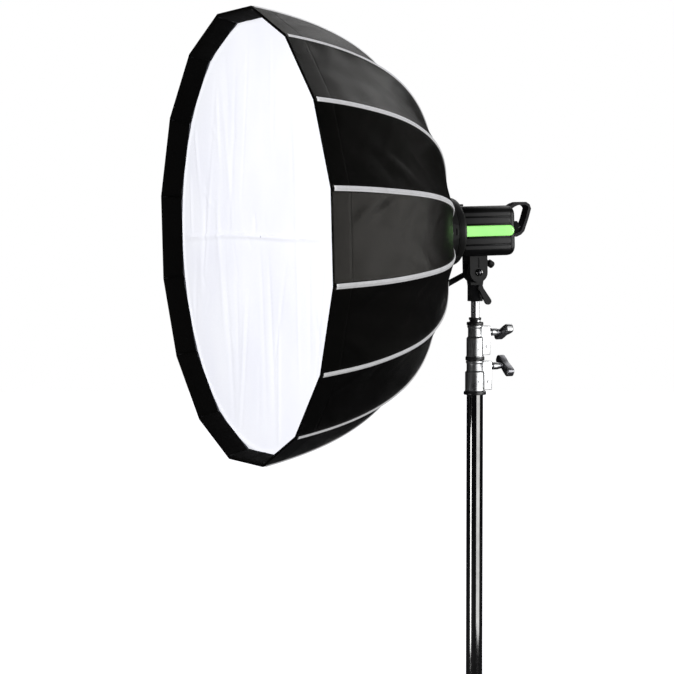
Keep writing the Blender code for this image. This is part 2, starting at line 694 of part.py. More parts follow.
def make_braces():
    """Each brace is a pair of flat bars that straddle the leg, joined by one bridge."""
    out = BRACE_POINT * math.sin(LEG_SPREAD) + LEG_HINGE_RADIUS - BRACE_HINGE_RADIUS
    rise = LEG_HINGE_HEIGHT - BRACE_POINT * math.cos(LEG_SPREAD) - BRACE_HINGE_HEIGHT
    length = math.hypot(out, rise)
    wide = BRACE_HALF_GAP + BRACE_PLATE
    brace = block("brace", (-0.007, -wide, -0.0055), (length + 0.007, wide, 0.0055))
    place(brace)
    for start, end in ((-0.02, 0.20 * length), (0.24 * length, length + 0.02)):
        cut(brace, block("space", (start, -BRACE_HALF_GAP, -0.02), (end, BRACE_HALF_GAP, 0.02)))
    brace = to_mesh(brace)
    for i, turn in enumerate(LEG_ANGLES):
        copy = bpy.data.objects.new(f"brace_{i + 1}", brace.data.copy())
        place(copy, (BRACE_HINGE_RADIUS * math.cos(turn),
                     STAND_Y + BRACE_HINGE_RADIUS * math.sin(turn), BRACE_HINGE_HEIGHT),
              (0, -math.atan2(rise, out), turn))
        paint(copy, (0.02, 0.02, 0.022), 0.3, 0.5)


# ---- build -------------------------------------------------------------------

clear_scene()
parts = new_collection("studio_softbox")
cutters = new_collection("cutters")
tilt_axis = empty("tilt_axis", (0, STAND_Y, PIVOT_HEIGHT), (math.pi / 2 + NOSE_DOWN, 0, 0))
lamp_axis = empty("lamp_axis", (0, OPTICAL_RISE, 0), parent=tilt_axis)

make_canopy()
make_front_lip()
make_diffusers()
make_hub()
make_ribs()
make_hub_latches()
make_head()
make_stripes()
make_handle()
make_lamp()
make_rear_controls()
make_tilt_bracket()
make_levers()
make_risers()
make_collars()
make_knobs()
make_leg_collar()
make_base_collar()
make_legs()
make_braces()
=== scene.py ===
import json
import math

import bmesh
import bpy
import numpy as np
from mathutils import Matrix, Vector

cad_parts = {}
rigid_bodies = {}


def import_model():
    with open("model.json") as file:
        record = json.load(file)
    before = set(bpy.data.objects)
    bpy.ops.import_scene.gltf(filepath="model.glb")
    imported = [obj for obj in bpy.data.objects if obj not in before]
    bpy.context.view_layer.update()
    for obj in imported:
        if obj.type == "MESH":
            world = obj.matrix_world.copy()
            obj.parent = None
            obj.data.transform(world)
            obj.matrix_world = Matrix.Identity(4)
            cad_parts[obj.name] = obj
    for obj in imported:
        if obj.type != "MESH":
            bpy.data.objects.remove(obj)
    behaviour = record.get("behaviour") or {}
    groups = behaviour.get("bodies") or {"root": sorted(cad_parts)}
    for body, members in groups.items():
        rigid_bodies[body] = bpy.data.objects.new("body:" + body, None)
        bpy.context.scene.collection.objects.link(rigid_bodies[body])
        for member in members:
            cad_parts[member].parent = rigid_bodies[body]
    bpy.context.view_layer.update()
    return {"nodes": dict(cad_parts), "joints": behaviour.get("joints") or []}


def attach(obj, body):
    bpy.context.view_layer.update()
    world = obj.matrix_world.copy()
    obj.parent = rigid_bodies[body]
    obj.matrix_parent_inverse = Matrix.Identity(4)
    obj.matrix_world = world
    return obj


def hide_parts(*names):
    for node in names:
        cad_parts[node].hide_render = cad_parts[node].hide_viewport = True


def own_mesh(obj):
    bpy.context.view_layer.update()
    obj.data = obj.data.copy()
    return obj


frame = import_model()
joints = {j["name"]: j for j in frame["joints"]}
print("frame loaded:", len(frame["nodes"]), "nodes")

# the lamp's own axes: x to the near side, y up, z out of the front of the lamp
mountForward = 0.0657
lampForward = Vector(joints["softbox_twist"]["axis"])
lampSide = Vector((1, 0, 0))
lampUp = lampForward.cross(lampSide)
lampStart = Vector(joints["softbox_twist"]["pos_m"]) - lampForward * mountForward
lampSpace = Matrix.Translation(lampStart) @ Matrix(
    (lampSide, lampUp, lampForward)).transposed().to_4x4()
pivot = Vector(joints["head_tilt"]["pos_m"])
standSpace = Matrix.Translation((0, pivot.y, 0))
nodeObjects = frame["nodes"]


def linkObject(name, data):
    obj = bpy.data.objects.new(name, data)
    bpy.context.scene.collection.objects.link(obj)
    return obj


def makeMesh(name, points, faces, material, space=None):
    # one material, or a list of them in slot order
    mesh = bpy.data.meshes.new(name)
    mesh.from_pydata([tuple(p) for p in points], [], [tuple(f) for f in faces])
    if space is not None:
        mesh.transform(space)
    for each in material if isinstance(material, list) else [material]:
        mesh.materials.append(each)
    mesh.update()
    obj = linkObject(name, mesh)
    smoothShade(obj)
    return obj


def makeGrid(name, points, material, space=None, wrap=False, cloth=None):
    # points is rows x columns x 3; cloth gives each point's place on the flat cloth, in metres
    rows, columns = points.shape[:2]
    faces = []
    for i in range(rows - 1):
        for j in range(columns if wrap else columns - 1):
            k = (j + 1) % columns
            faces.append((i * columns + j, (i + 1) * columns + j, (i + 1) * columns + k, i * columns + k))
    obj = makeMesh(name, points.reshape(-1, 3), faces, material, space)
    if cloth is not None:
        layer = obj.data.uv_layers.new(name="cloth")
        flat = cloth.reshape(-1, 2)
        index = np.zeros(len(obj.data.loops), int)
        obj.data.loops.foreach_get("vertex_index", index)
        layer.data.foreach_set("uv", flat[index].ravel())
    return obj


def smoothShade(obj, sharp=None):
    # sharp is the angle in degrees above which an edge stays crisp
    obj.data.polygons.foreach_set("use_smooth", [True] * len(obj.data.polygons))
    if sharp is not None:
        obj.data.set_sharp_from_angle(angle=math.radians(sharp))


def addModifier(obj, kind, **values):
    step = obj.modifiers.new(kind.lower(), kind)
    for key, value in values.items():
        setattr(step, key, value)
    return step


def applyModifiers(obj):
    graph = bpy.context.evaluated_depsgraph_get()
    mesh = bpy.data.meshes.new_from_object(obj.evaluated_get(graph), depsgraph=graph)
    obj.modifiers.clear()
    obj.data = mesh
    return obj


def lathe(name, profile, material, space, steps=48):
    # profile is (radius, height) from one end to the other, spun about the space's own z
    turn = np.linspace(0, 2 * math.pi, steps, endpoint=False)
    points = np.array([[(r * math.cos(a), r * math.sin(a), z) for a in turn] for r, z in profile])
    rows, columns = points.shape[:2]
    obj = makeGrid(name, points, material, None, wrap=True)
    bm = bmesh.new()
    bm.from_mesh(obj.data)
    bmesh.ops.remove_doubles(bm, verts=bm.verts, dist=0.00001)
    bmesh.ops.holes_fill(bm, edges=[e for e in bm.edges if e.is_boundary], sides=0)
    bmesh.ops.recalc_face_normals(bm, faces=bm.faces)
    bm.to_mesh(obj.data)
    bm.free()
    obj.data.transform(space)
    smoothShade(obj)
    return obj


def extrude(name, outline, low, high, material, space, bevel=0.0, segments=2):
    # an outline in x and y raised along z, with its corners rounded
    bm = bmesh.new()
    ring = [bm.verts.new((x, y, low)) for x, y in outline]
    face = bm.faces.new(ring)
    top = bmesh.ops.extrude_face_region(bm, geom=[face])
    bmesh.ops.translate(bm, vec=(0, 0, high - low),
                        verts=[v for v in top["geom"] if isinstance(v, bmesh.types.BMVert)])
    bmesh.ops.recalc_face_normals(bm, faces=bm.faces)
    mesh = bpy.data.meshes.new(name)
    bm.to_mesh(mesh)
    bm.free()
    mesh.transform(space)
    mesh.materials.append(material)
    obj = linkObject(name, mesh)
    if bevel:
        addModifier(obj, "BEVEL", width=bevel, segments=segments, limit_method="ANGLE",
                    angle_limit=math.radians(35), harden_normals=False)
        applyModifiers(obj)
    smoothShade(obj, 32)
    return obj


def arcPoints(centre, radius, start, end, steps):
    turn = [math.radians(start + (end - start) * i / steps) for i in range(steps + 1)]
    return [(centre[0] + radius * math.cos(a), centre[1] + radius * math.sin(a)) for a in turn]


def ease(x):
    x = np.clip(x, 0, 1)
    return x * x * (3 - 2 * x)


def newMaterial(name, colour, roughness, metallic=0.0):
    material = bpy.data.materials.new(name)
    material.use_nodes = True
    nodes = material.node_tree.nodes
    shader = nodes["Principled BSDF"]
    shader.inputs["Base Color"].default_value = (*colour, 1)
    shader.inputs["Roughness"].default_value = roughness
    shader.inputs["Metallic"].default_value = metallic
    return material, nodes, material.node_tree.links, shader


def placeNode(nodes):
    return nodes.new("ShaderNodeTexCoord").outputs["Object"]


def noiseNode(nodes, links, place, scale, detail=3.0, roughness=0.5):
    noise = nodes.new("ShaderNodeTexNoise")
    noise.inputs["Scale"].default_value = scale
    noise.inputs["Detail"].default_value = detail
    noise.inputs["Roughness"].default_value = roughness
    links.new(place, noise.inputs["Vector"])
    return noise.outputs["Fac"]


def rampNode(nodes, links, value, low, high, start=0.3, end=0.7):
    ramp = nodes.new("ShaderNodeMapRange")
    ramp.inputs["From Min"].default_value = start
    ramp.inputs["From Max"].default_value = end
    ramp.inputs["To Min"].default_value = low
    ramp.inputs["To Max"].default_value = high
    links.new(value, ramp.inputs["Value"])
    return ramp.outputs["Result"]


def mixColours(nodes, links, value, first, second):
    mix = nodes.new("ShaderNodeMix")
    mix.data_type = "RGBA"
    mix.inputs["A"].default_value = (*first, 1)
    mix.inputs["B"].default_value = (*second, 1)
    links.new(value, mix.inputs["Factor"])
    return mix.outputs["Result"]


def addBump(nodes, links, shader, height, strength, distance, under=None):
    bump = nodes.new("ShaderNodeBump")
    bump.inputs["Strength"].default_value = strength
    bump.inputs["Distance"].default_value = distance
    links.new(height, bump.inputs["Height"])
    if under is not None:
        links.new(under, bump.inputs["Normal"])
    links.new(bump.outputs["Normal"], shader.inputs["Normal"])
    return bump.outputs["Normal"]


def waveNode(nodes, links, place, scale, direction):
    wave = nodes.new("ShaderNodeTexWave")
    wave.wave_type = "BANDS"
    wave.bands_direction = direction
    wave.inputs["Scale"].default_value = scale
    links.new(place, wave.inputs["Vector"])
    return wave.outputs["Fac"]


def mathNode(nodes, links, operation, first, second):
    step = nodes.new("ShaderNodeMath")
    step.operation = operation
    for slot, value in enumerate((first, second)):
        if isinstance(value, (int, float)):
            step.inputs[slot].default_value = value
        else:
            links.new(value, step.inputs[slot])
    return step.outputs[0]


weaveSpec = {"thread": 0.0007, "depth": 0.00012, "wavesPerThread": 0.314}


def wovenMaterial(name, colour, lighter, roughness, shine):
    # plain weave on the cloth's own flat coordinates, thread is the spacing in metres
    weaveDepth = weaveSpec["depth"]
    material, nodes, links, shader = newMaterial(name, colour, roughness)
    flat = nodes.new("ShaderNodeUVMap")
    flat.uv_map = "cloth"
    place = flat.outputs["UV"]
    scale = weaveSpec["wavesPerThread"] / weaveSpec["thread"]
    warp = waveNode(nodes, links, place, scale, "X")
    weft = waveNode(nodes, links, place, scale, "Y")
    weave = mathNode(nodes, links, "MULTIPLY", warp, weft)
    blotch = noiseNode(nodes, links, placeNode(nodes), 9.0, 4.0)
    fuzz = noiseNode(nodes, links, placeNode(nodes), 900.0, 2.0)
    tint = rampNode(nodes, links, blotch, 0.0, 0.75)
    tint = mathNode(nodes, links, "ADD", tint, mathNode(nodes, links, "MULTIPLY", weave, 0.3))
    links.new(mixColours(nodes, links, tint, colour, lighter), shader.inputs["Base Color"])
    links.new(rampNode(nodes, links, fuzz, roughness - 0.07, roughness + 0.08),
              shader.inputs["Roughness"])
    first = addBump(nodes, links, shader, weave, 0.55, weaveDepth)
    addBump(nodes, links, shader, fuzz, 0.15, weaveDepth, first)
    shader.inputs["Specular IOR Level"].default_value = shine
    shader.inputs["Specular Tint"].default_value = (1.0, 0.95, 0.87, 1)
    return material


def glowingTapeMaterial():
    material, nodes, links, shader = newMaterial("seamTape", (0.72, 0.72, 0.70), 0.42)
    flat = nodes.new("ShaderNodeUVMap")
    flat.uv_map = "cloth"
    ribs = waveNode(nodes, links, flat.outputs["UV"], 420.0, "Y")
    wear = noiseNode(nodes, links, placeNode(nodes), 60.0, 5.0)
    links.new(mixColours(nodes, links, rampNode(nodes, links, wear, 0.0, 1.0),
                         (0.80, 0.80, 0.79), (0.56, 0.56, 0.55)), shader.inputs["Base Color"])
    addBump(nodes, links, shader, ribs, 0.5, 0.00015)
    shader.inputs["Sheen Weight"].default_value = 0.25
    # painted glow: the tape emits a little white light of its own, so it stays bright where no lamp reaches
    # it
    shader.inputs["Emission Color"].default_value = (1, 1, 1, 1)
    shader.inputs["Emission Strength"].default_value = 0.30
    return material


def liningMaterial():
    material, nodes, links, shader = newMaterial("silverLining", (0.62, 0.63, 0.64), 0.38, 0.75)
    crease = noiseNode(nodes, links, placeNode(nodes), 140.0, 6.0, 0.6)
    grain = noiseNode(nodes, links, placeNode(nodes), 1200.0, 2.0)
    links.new(rampNode(nodes, links, crease, 0.28, 0.5), shader.inputs["Roughness"])
    first = addBump(nodes, links, shader, crease, 0.25, 0.0006)
    addBump(nodes, links, shader, grain, 0.2, 0.0002, first)
    return material


def diffusionMaterial(name="diffusionCloth", paintedGlow=0.10):
    material, nodes, links, shader = newMaterial(name, (0.90, 0.91, 0.95), 0.72)
    place = placeNode(nodes)
    weave = noiseNode(nodes, links, place, 1500.0, 2.0)
    cloud = noiseNode(nodes, links, place, 6.0, 3.0)
    links.new(mixColours(nodes, links, rampNode(nodes, links, cloud, 0.0, 1.0),
                         (0.93, 0.94, 0.97), (0.86, 0.87, 0.93)), shader.inputs["Base Color"])
    addBump(nodes, links, shader, weave, 0.25, 0.0002)
    shader.inputs["Sheen Weight"].default_value = 0.3
    # painted glow: an even emission that brightens the cloth beyond what the lamps give it
    shader.inputs["Emission Color"].default_value = (0.93, 0.94, 1.0, 1)
    shader.inputs["Emission Strength"].default_value = paintedGlow
    return material


def mouldedMaterial(name, colour, roughness, grain=1400.0, depth=0.00012, coat=0.0):
    # moulded or cast and painted: fine grain, slight colour and gloss variation
    material, nodes, links, shader = newMaterial(name, colour, roughness)
    place = placeNode(nodes)
    fine = noiseNode(nodes, links, place, grain, 2.0)
    broad = noiseNode(nodes, links, place, 22.0, 4.0)
    lighter = tuple(min(1.0, c * 1.5 + 0.004) for c in colour)
    links.new(mixColours(nodes, links, rampNode(nodes, links, broad, 0.0, 0.7), colour, lighter),
              shader.inputs["Base Color"])
    links.new(rampNode(nodes, links, broad, roughness * 0.88, roughness * 1.14),
              shader.inputs["Roughness"])
    addBump(nodes, links, shader, fine, 0.35, depth)
    shader.inputs["Coat Weight"].default_value = coat
    shader.inputs["Coat Roughness"].default_value = 0.05
    shader.inputs["Coat IOR"].default_value = 1.8
    return material


def metalMaterial(name, colour, roughness, brush=0.0, cast=0.0):
    material, nodes, links, shader = newMaterial(name, colour, roughness, 1.0)
    place = placeNode(nodes)
    broad = noiseNode(nodes, links, place, 35.0, 5.0, 0.6)
    links.new(rampNode(nodes, links, broad, roughness * 0.75, roughness * 1.3),
              shader.inputs["Roughness"])
    darker = tuple(c * 0.72 for c in colour)
    links.new(mixColours(nodes, links, rampNode(nodes, links, broad, 0.0, 1.0), colour, darker),
              shader.inputs["Base Color"])
    normal = None
    if brush:
        stretch = nodes.new("ShaderNodeMapping")
        stretch.inputs["Scale"].default_value = (60, 60, 1400)
        links.new(place, stretch.inputs["Vector"])
        normal = addBump(nodes, links, shader,
                         noiseNode(nodes, links, stretch.outputs["Vector"], 1.0, 3.0), brush, 0.0001)
    if cast:
        addBump(nodes, links, shader, noiseNode(nodes, links, place, 420.0, 3.0), cast, 0.0004, normal)
    return material


def glassMaterial(name, colour, roughness, clear):
    material, nodes, links, shader = newMaterial(name, colour, roughness)
    smear = noiseNode(nodes, links, placeNode(nodes), 60.0, 4.0)
    links.new(rampNode(nodes, links, smear, roughness * 0.8, roughness * 1.3), shader.inputs["Roughness"])
    shader.inputs["Transmission Weight"].default_value = clear
    return material


materials = {
    "nylon": wovenMaterial("blackNylon", (0.0012, 0.00115, 0.0010), (0.0028, 0.0026, 0.0023),
                           0.36, 0.3),
    "lip": wovenMaterial("lipNylon", (0.0006, 0.0006, 0.0006), (0.0012, 0.0012, 0.0012),
                         0.85, 0.05),
    "lining": liningMaterial(),
    "tape": glowingTapeMaterial(),
    "diffusion": diffusionMaterial(),
    "baffle": diffusionMaterial("baffleCloth", 0.0),
    "shell": mouldedMaterial("lampShell", (0.0040, 0.0040, 0.0038), 0.42),
    "band": mouldedMaterial("lampBand", (0.050, 0.050, 0.047), 0.5),
    "ring": mouldedMaterial("mountBlack", (0.022, 0.022, 0.020), 0.45, 900.0),
    # near-black: the own colour of the hem's stitch thread, and painted shade for the cheek's groove
    "gap": mouldedMaterial("shadowGap", (0.003, 0.003, 0.003), 0.7),
    "green": mouldedMaterial("signalGreen", (0.245, 0.86, 0.115), 0.34, 700.0, 0.00008, 0.3),
    "casting": mouldedMaterial("blackCasting", (0.030, 0.030, 0.028), 0.5, 1100.0, 0.0002),
    "rubber": mouldedMaterial("softRubber", (0.012, 0.012, 0.012), 0.72, 1600.0, 0.0002),
    "glossBlack": metalMaterial("glossBlack", (0.24, 0.24, 0.235), 0.08),
    "collarBlack": mouldedMaterial("collarBlack", (0.006, 0.006, 0.006), 0.3, 800.0),
    "polished": metalMaterial("polishedAlloy", (0.50, 0.505, 0.51), 0.31, 0.10, 0.12),
    "castSilver": metalMaterial("castSilver", (0.62, 0.625, 0.63), 0.30, 0.0, 0.3),
    "castGrey": metalMaterial("castGrey", (0.30, 0.30, 0.32), 0.33, 0.0, 0.3),
    "steel": metalMaterial("brightSteel", (0.70, 0.70, 0.71), 0.12, 0.08),
    "ribRod": metalMaterial("ribRod", (0.03, 0.03, 0.032), 0.35, 0.1),
    "handle": mouldedMaterial("handleBlack", (0.022, 0.020, 0.022), 0.45, 1200.0, 0.0002),
    "screen": mouldedMaterial("screenGlass", (0.004, 0.006, 0.010), 0.06, 400.0, 0.00001, 1.0),
    "frosted": glassMaterial("frostedGlass", (0.93, 0.94, 0.95), 0.35, 0.85),
    "clearGlass": glassMaterial("clearGlass", (0.95, 0.95, 0.92), 0.05, 0.9),
}
print("materials ready:", len(materials))


cameraSpec = {"lens": 120.18, "sensor": 36, "farthest": 60, "azimuth": 65.6, "lookDown": 2.545,
              "right": 0.1790, "distance": 4.1505, "up": 0.0012}  # from the rim's centre, in metres


def makeCamera():
    data = bpy.data.cameras.new("camera")
    data.lens = cameraSpec["lens"]
    data.sensor_width = cameraSpec["sensor"]
    data.clip_end = cameraSpec["farthest"]
    camera = linkObject("camera", data)
    turn = math.radians(cameraSpec["azimuth"])
    right = Vector((math.cos(turn), math.sin(turn), 0))
    ahead = Vector((-math.sin(turn), math.cos(turn), 0))
    rimCentre = lampSpace @ Vector((0, 0, canopySpec["rimForward"]))
    camera.location = (rimCentre + right * cameraSpec["right"] - ahead * cameraSpec["distance"]
                       + Vector((0, 0, cameraSpec["up"])))
    down = math.radians(cameraSpec["lookDown"])
    look = ahead * math.cos(down) - Vector((0, 0, math.sin(down)))
    camera.rotation_euler = look.to_track_quat("-Z", "Y").to_euler()
    bpy.context.scene.camera = camera


stageSpec = {"floorRings": (14.0, 5.0, 1.5, 0.0002), "floorHeight": -0.0004, "unseenFloor": 0.06,
             "seen": (1.0, 1.0, 1.0), "fill": 0.26, "mirrored": 0.012}


def mixShaders(nodes, links, share, first, second):
    mix = nodes.new("ShaderNodeMixShader")
    for slot, source in enumerate((share, first, second)):
        links.new(source, mix.inputs[slot])
    return mix.outputs["Shader"]


def makeBackground(nodes, colour, strength):
    background = nodes.new("ShaderNodeBackground")
    background.inputs["Color"].default_value = (*colour, 1)
    background.inputs["Strength"].default_value = strength
    return background.outputs["Background"]


def makeStage():
    floorMaterial, nodes, links, shader = newMaterial("paleFloor", (0.80, 0.80, 0.81), 0.8)
    grain = noiseNode(nodes, links, placeNode(nodes), 3.0, 4.0)
    links.new(rampNode(nodes, links, grain, 0.74, 0.86), shader.inputs["Roughness"])
    # the floor brightens away from the stand until it meets the backdrop
    distance = nodes.new("ShaderNodeVectorMath")
    distance.operation = "LENGTH"
    links.new(placeNode(nodes), distance.inputs[0])
    shader.inputs["Emission Color"].default_value = (1, 1, 1, 1)
    paintedGlow = rampNode(nodes, links, distance.outputs["Value"], 0.25, 1.0, 0.5, 2.5)
    links.new(paintedGlow, shader.inputs["Emission Strength"])
    # reflections and bounced light meet a much darker floor, as in a wide dark studio
    dark = nodes.new("ShaderNodeBsdfDiffuse")
    dark.inputs["Color"].default_value = (*[stageSpec["unseenFloor"]] * 3, 1)
    path = nodes.new("ShaderNodeLightPath")
    surface = mixShaders(nodes, links, path.outputs["Is Camera Ray"], dark.outputs["BSDF"],
                         shader.outputs["BSDF"])
    links.new(surface, nodes["Material Output"].inputs["Surface"])
    turn = np.linspace(0, 2 * math.pi, 96, endpoint=False)
    rings = np.array([[(r * math.cos(a), r * math.sin(a), stageSpec["floorHeight"]) for a in turn]
                      for r in stageSpec["floorRings"]])
    makeGrid("floor", rings, floorMaterial, wrap=True)


def makeWorld():
    # white to the camera, dim as fill light and darker still in reflections
    world = bpy.data.worlds.new("studio")
    bpy.context.scene.world = world
    world.use_nodes = True
    nodes, links = world.node_tree.nodes, world.node_tree.links
    seen = nodes["Background"]
    seen.inputs["Color"].default_value = (*stageSpec["seen"], 1)
    fill = makeBackground(nodes, (0.84, 0.84, 1.0), stageSpec["fill"])
    mirrored = makeBackground(nodes, (1.0, 0.98, 0.95), stageSpec["mirrored"])
    path = nodes.new("ShaderNodeLightPath")
    unseen = mixShaders(nodes, links, path.outputs["Is Glossy Ray"], fill, mirrored)
    surface = mixShaders(nodes, links, path.outputs["Is Camera Ray"], unseen, seen.outputs["Background"])
    links.new(surface, nodes["World Output"].inputs["Surface"])
    bpy.context.scene.view_settings.view_transform = "Standard"


lightSpec = {
    "front": {"from": (0.75, -2.9, 1.50), "at": (0, -0.4, 1.3), "size": (1.3, 1.3), "power": 76},
    "side": {"from": (2.2, 3.5, 1.30), "at": (0, -0.3, 1.3), "size": (3.4, 0.6), "power": 52},
    "behind": {"from": (-1.75, 2.5, 3.9), "at": (0, -0.3, 1.3), "size": (3.2, 1.7), "power": 25},
    # these two only reach the stand, as tall strips close beside it
    "band": {"from": (1.55, 0.76, 1.1), "at": (0, 0.13, 1.1), "size": (1.5, 2.2), "power": 29,
             "stand": True},
    "line": {"from": (0.26, -1.40, 0.5), "at": (0, 0.13, 0.5), "size": (0.40, 1.0), "power": 9,
             "stand": True},
}


standParts = bpy.data.collections.new("standParts")


def gatherStandParts():
    # pieces lit by the two close strips, by the start of their names
    starts = ("upper", "lower", "middle", "topRiser", "topCap", "capBall", "midTube", "column",
              "leg", "brace", "base", "sideStripe")
    for obj in bpy.context.scene.objects:
        if obj.type == "MESH" and obj.name.startswith(starts):
            standParts.objects.link(obj)


def makeLights():
    for name, spec in lightSpec.items():
        data = bpy.data.lights.new(name, "AREA")
        data.shape = "RECTANGLE"
        data.size, data.size_y = spec["size"]
        data.energy = spec["power"]
        light = linkObject(name + "Light", data)
        light.location = spec["from"]
        light.visible_camera = False
        look = Vector(spec["at"]) - Vector(spec["from"])
        light.rotation_euler = look.to_track_quat("-Z", "Y").to_euler()
        if spec.get("stand"):
            light.light_linking.receiver_collection = standParts


canopySpec = {
    "ribs": 16, "rimForward": 0.488,
    "bend": ((0.4250, 0.4880), (0.3694, 0.1769), (0.2357, 0.1649), (0.0815, 0.0945)),
    "across": 22, "hem": 0.038, "thickness": 0.0006, "sag": 0.0030,
    "folds": 11, "foldKeep": 0.52,
}


def measureCurve():
    # the ribs' curve as tables of distance from the rim, radius, forward and slope
    share = np.linspace(0, 1, 500)[:, None]
    rim, first, second, hub = [np.array(point) for point in canopySpec["bend"]]
    spots = (rim * (1 - share) ** 3 + first * 3 * (1 - share) ** 2 * share
             + second * 3 * (1 - share) * share ** 2 + hub * share ** 3)
    steps = np.diff(spots, axis=0)
    along = np.concatenate([[0], np.cumsum(np.hypot(*steps.T))])
    slope = np.gradient(spots, along, axis=0)
    return along, spots[:, 0], spots[:, 1], np.arctan2(-slope[:, 0], -slope[:, 1])


curveTable = measureCurve()
ribLength = curveTable[0][-1]


def ribCurve(along, depth=0.0):
    # radius, forward and slope at a distance along the rib from the rim
    radius, forward, angle = [np.interp(along, curveTable[0], column) for column in curveTable[1:]]
    return radius - depth * np.cos(angle), forward + depth * np.sin(angle), angle


def ribTurn(index):
    return 2 * math.pi / canopySpec["ribs"] * (index + 0.5)


def bodyOfRib(index):
    return f"rib_{index % canopySpec['ribs'] + 1:02d}"


def foldPanel(piece, index):
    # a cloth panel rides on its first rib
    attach(piece, bodyOfRib(index))
    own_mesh(piece)


def panelRelief(index, flatX, flatY, width):
    # drag lines and slack in one panel, in metres out of its plane
    chance = np.random.default_rng(40 + index)
    relief = np.zeros_like(flatX)
    for _ in range(canopySpec["folds"]):
        edge = chance.choice([-1, 1])
        x = edge * chance.uniform(0.10, 0.46) * 0.14
        y = chance.uniform(0.03, 0.34)
        turn = edge * chance.uniform(0.35, 1.05)
        reach = chance.uniform(0.03, 0.085)
        wide = chance.uniform(0.004, 0.010)
        height = chance.uniform(0.0004, 0.0011) * chance.choice([-1, 1, 1])
        alongFold = (flatX - x) * math.sin(turn) + (flatY - y) * math.cos(turn)
        acrossFold = (flatX - x) * math.cos(turn) - (flatY - y) * math.sin(turn)
        bend = acrossFold + 0.06 * alongFold ** 2 / reach
        relief += height * np.exp(-(bend / wide) ** 2) * np.exp(-(alongFold / reach) ** 4)
    for _ in range(4):
        turn = chance.uniform(0, math.pi)
        wave = chance.uniform(60, 120)
        phase = chance.uniform(0, 6.28)
        relief += 0.00022 * np.sin((flatX * math.sin(turn) + flatY * math.cos(turn)) * wave + phase)
    inside = ease(np.minimum(0.5 + flatX / width, 0.5 - flatX / width) * 9)
    hem = 0.35 + 0.65 * ease((flatY - canopySpec["hem"] + 0.004) / 0.02)
    return relief * inside * hem


def panelAlong():
    # distances from the rim, closer together at the hem's stitching
    hem = canopySpec["hem"]
    near = [0.0, 0.002, 0.006, 0.012, 0.019, 0.026, 0.032, hem - 0.0022, hem - 0.0011, hem,
            hem + 0.0011, hem + 0.0022, hem + 0.005]
    rest = list(np.linspace(hem + 0.010, ribLength, 84))
    return np.array(near + rest)


def panelSurface(index, along, across, lift=0.0):
    # points of one panel's outer face and their places on the flat cloth
    first, forward, angle = ribCurve(along)
    turns = (ribTurn(index), ribTurn(index + 1))
    middle = (turns[0] + turns[1]) / 2
    width = 2 * first * math.sin((turns[1] - turns[0]) / 2)
    share = across[None, :]
    start = np.stack([first * math.cos(turns[0]), first * math.sin(turns[0]), forward], -1)
    end = np.stack([first * math.cos(turns[1]), first * math.sin(turns[1]), forward], -1)
    points = start[:, None] * (1 - share[..., None]) + end[:, None] * share[..., None]
    normal = np.stack([np.cos(angle) * math.cos(middle), np.cos(angle) * math.sin(middle),
                       -np.sin(angle)], -1)[:, None]
    flatX = (share - 0.5) * width[:, None]
    flatY = np.broadcast_to(along[:, None], flatX.shape)
    slack = ease((along - 0.02) / 0.12) * ease((ribLength - along) / 0.15)
    out = -canopySpec["sag"] * 4 * share * (1 - share) * slack[:, None] + lift
    out = out + panelRelief(index, flatX, flatY, width[:, None])
    groove = np.exp(-((flatY - canopySpec["hem"]) / 0.0011) ** 2)
    out = out - 0.0005 * groove * ease(np.minimum(share, 1 - share) * 20)
    out = out + 0.0004 * (1 - ease((flatY - canopySpec["hem"]) / 0.0015))
    points = points + normal * out[..., None]
    return points, np.stack([flatX, flatY], -1)


def makePanels():
    along = panelAlong()
    across = np.linspace(0, 1, canopySpec["across"] + 1)
    for i in range(canopySpec["ribs"]):
        points, flat = panelSurface(i, along, across)
        panel = makeGrid(f"canopyPanel{i + 1:02d}", points, [materials["nylon"], materials["lining"]],
                         lampSpace, cloth=flat)
        addModifier(panel, "SOLIDIFY", thickness=canopySpec["thickness"], offset=-1,
                    material_offset=1, material_offset_rim=0)
        applyModifiers(panel)
        foldPanel(panel, i)
        if i == 0:
            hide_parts("canopy")
        stitches = makeHemStitches(i)
        tape = makeTape(i)
    print("canopy panels and seam tapes made")


stitchSpec = {"pitch": 0.0034, "length": 0.0023, "radius": 0.00028, "rows": (-0.0016, 0.0016)}


def makeHemStitches(index):
    # two rows of thread beside the hem's fold line, dash by dash
    spec = stitchSpec
    width = 2 * ribCurve(np.array([canopySpec["hem"]]))[0][0] * math.sin(math.pi / canopySpec["ribs"])
    count = int(width * 0.92 / spec["pitch"])
    points, faces = [], []
    for row in spec["rows"]:
        across = np.linspace(0.04, 0.96, count)
        half = spec["length"] / width / 2
        ends, _ = panelSurface(index, np.array([canopySpec["hem"] + row]),
                               np.sort(np.concatenate([across - half, across + half])), 0.0003)
        ends = ends[0]
        for start, end in zip(ends[::2], ends[1::2]):
            middle = (start + end) / 2
            out = np.array([middle[0], middle[1], 0.0])
            out = out / np.linalg.norm(out) * spec["radius"]
            side = np.cross(end - start, out)
            side = side / np.linalg.norm(side) * spec["radius"]
            base = len(points)
            points += [start, middle + out, middle + side, middle - out, middle - side, end]
            for a, b in ((1, 2), (2, 3), (3, 4), (4, 1)):
                faces += [(base, base + a, base + b), (base + 5, base + b, base + a)]
    stitches = makeMesh(f"hemStitch{index + 1:02d}", points, faces, materials["gap"], lampSpace)
    foldPanel(stitches, index)
    return stitches


tapeSpec = {"halfWidth": 0.0046, "hubHalfWidth": 0.0030, "start": 0.0055, "end": 0.012,
            "thickness": 0.0005, "ridge": 0.0009}


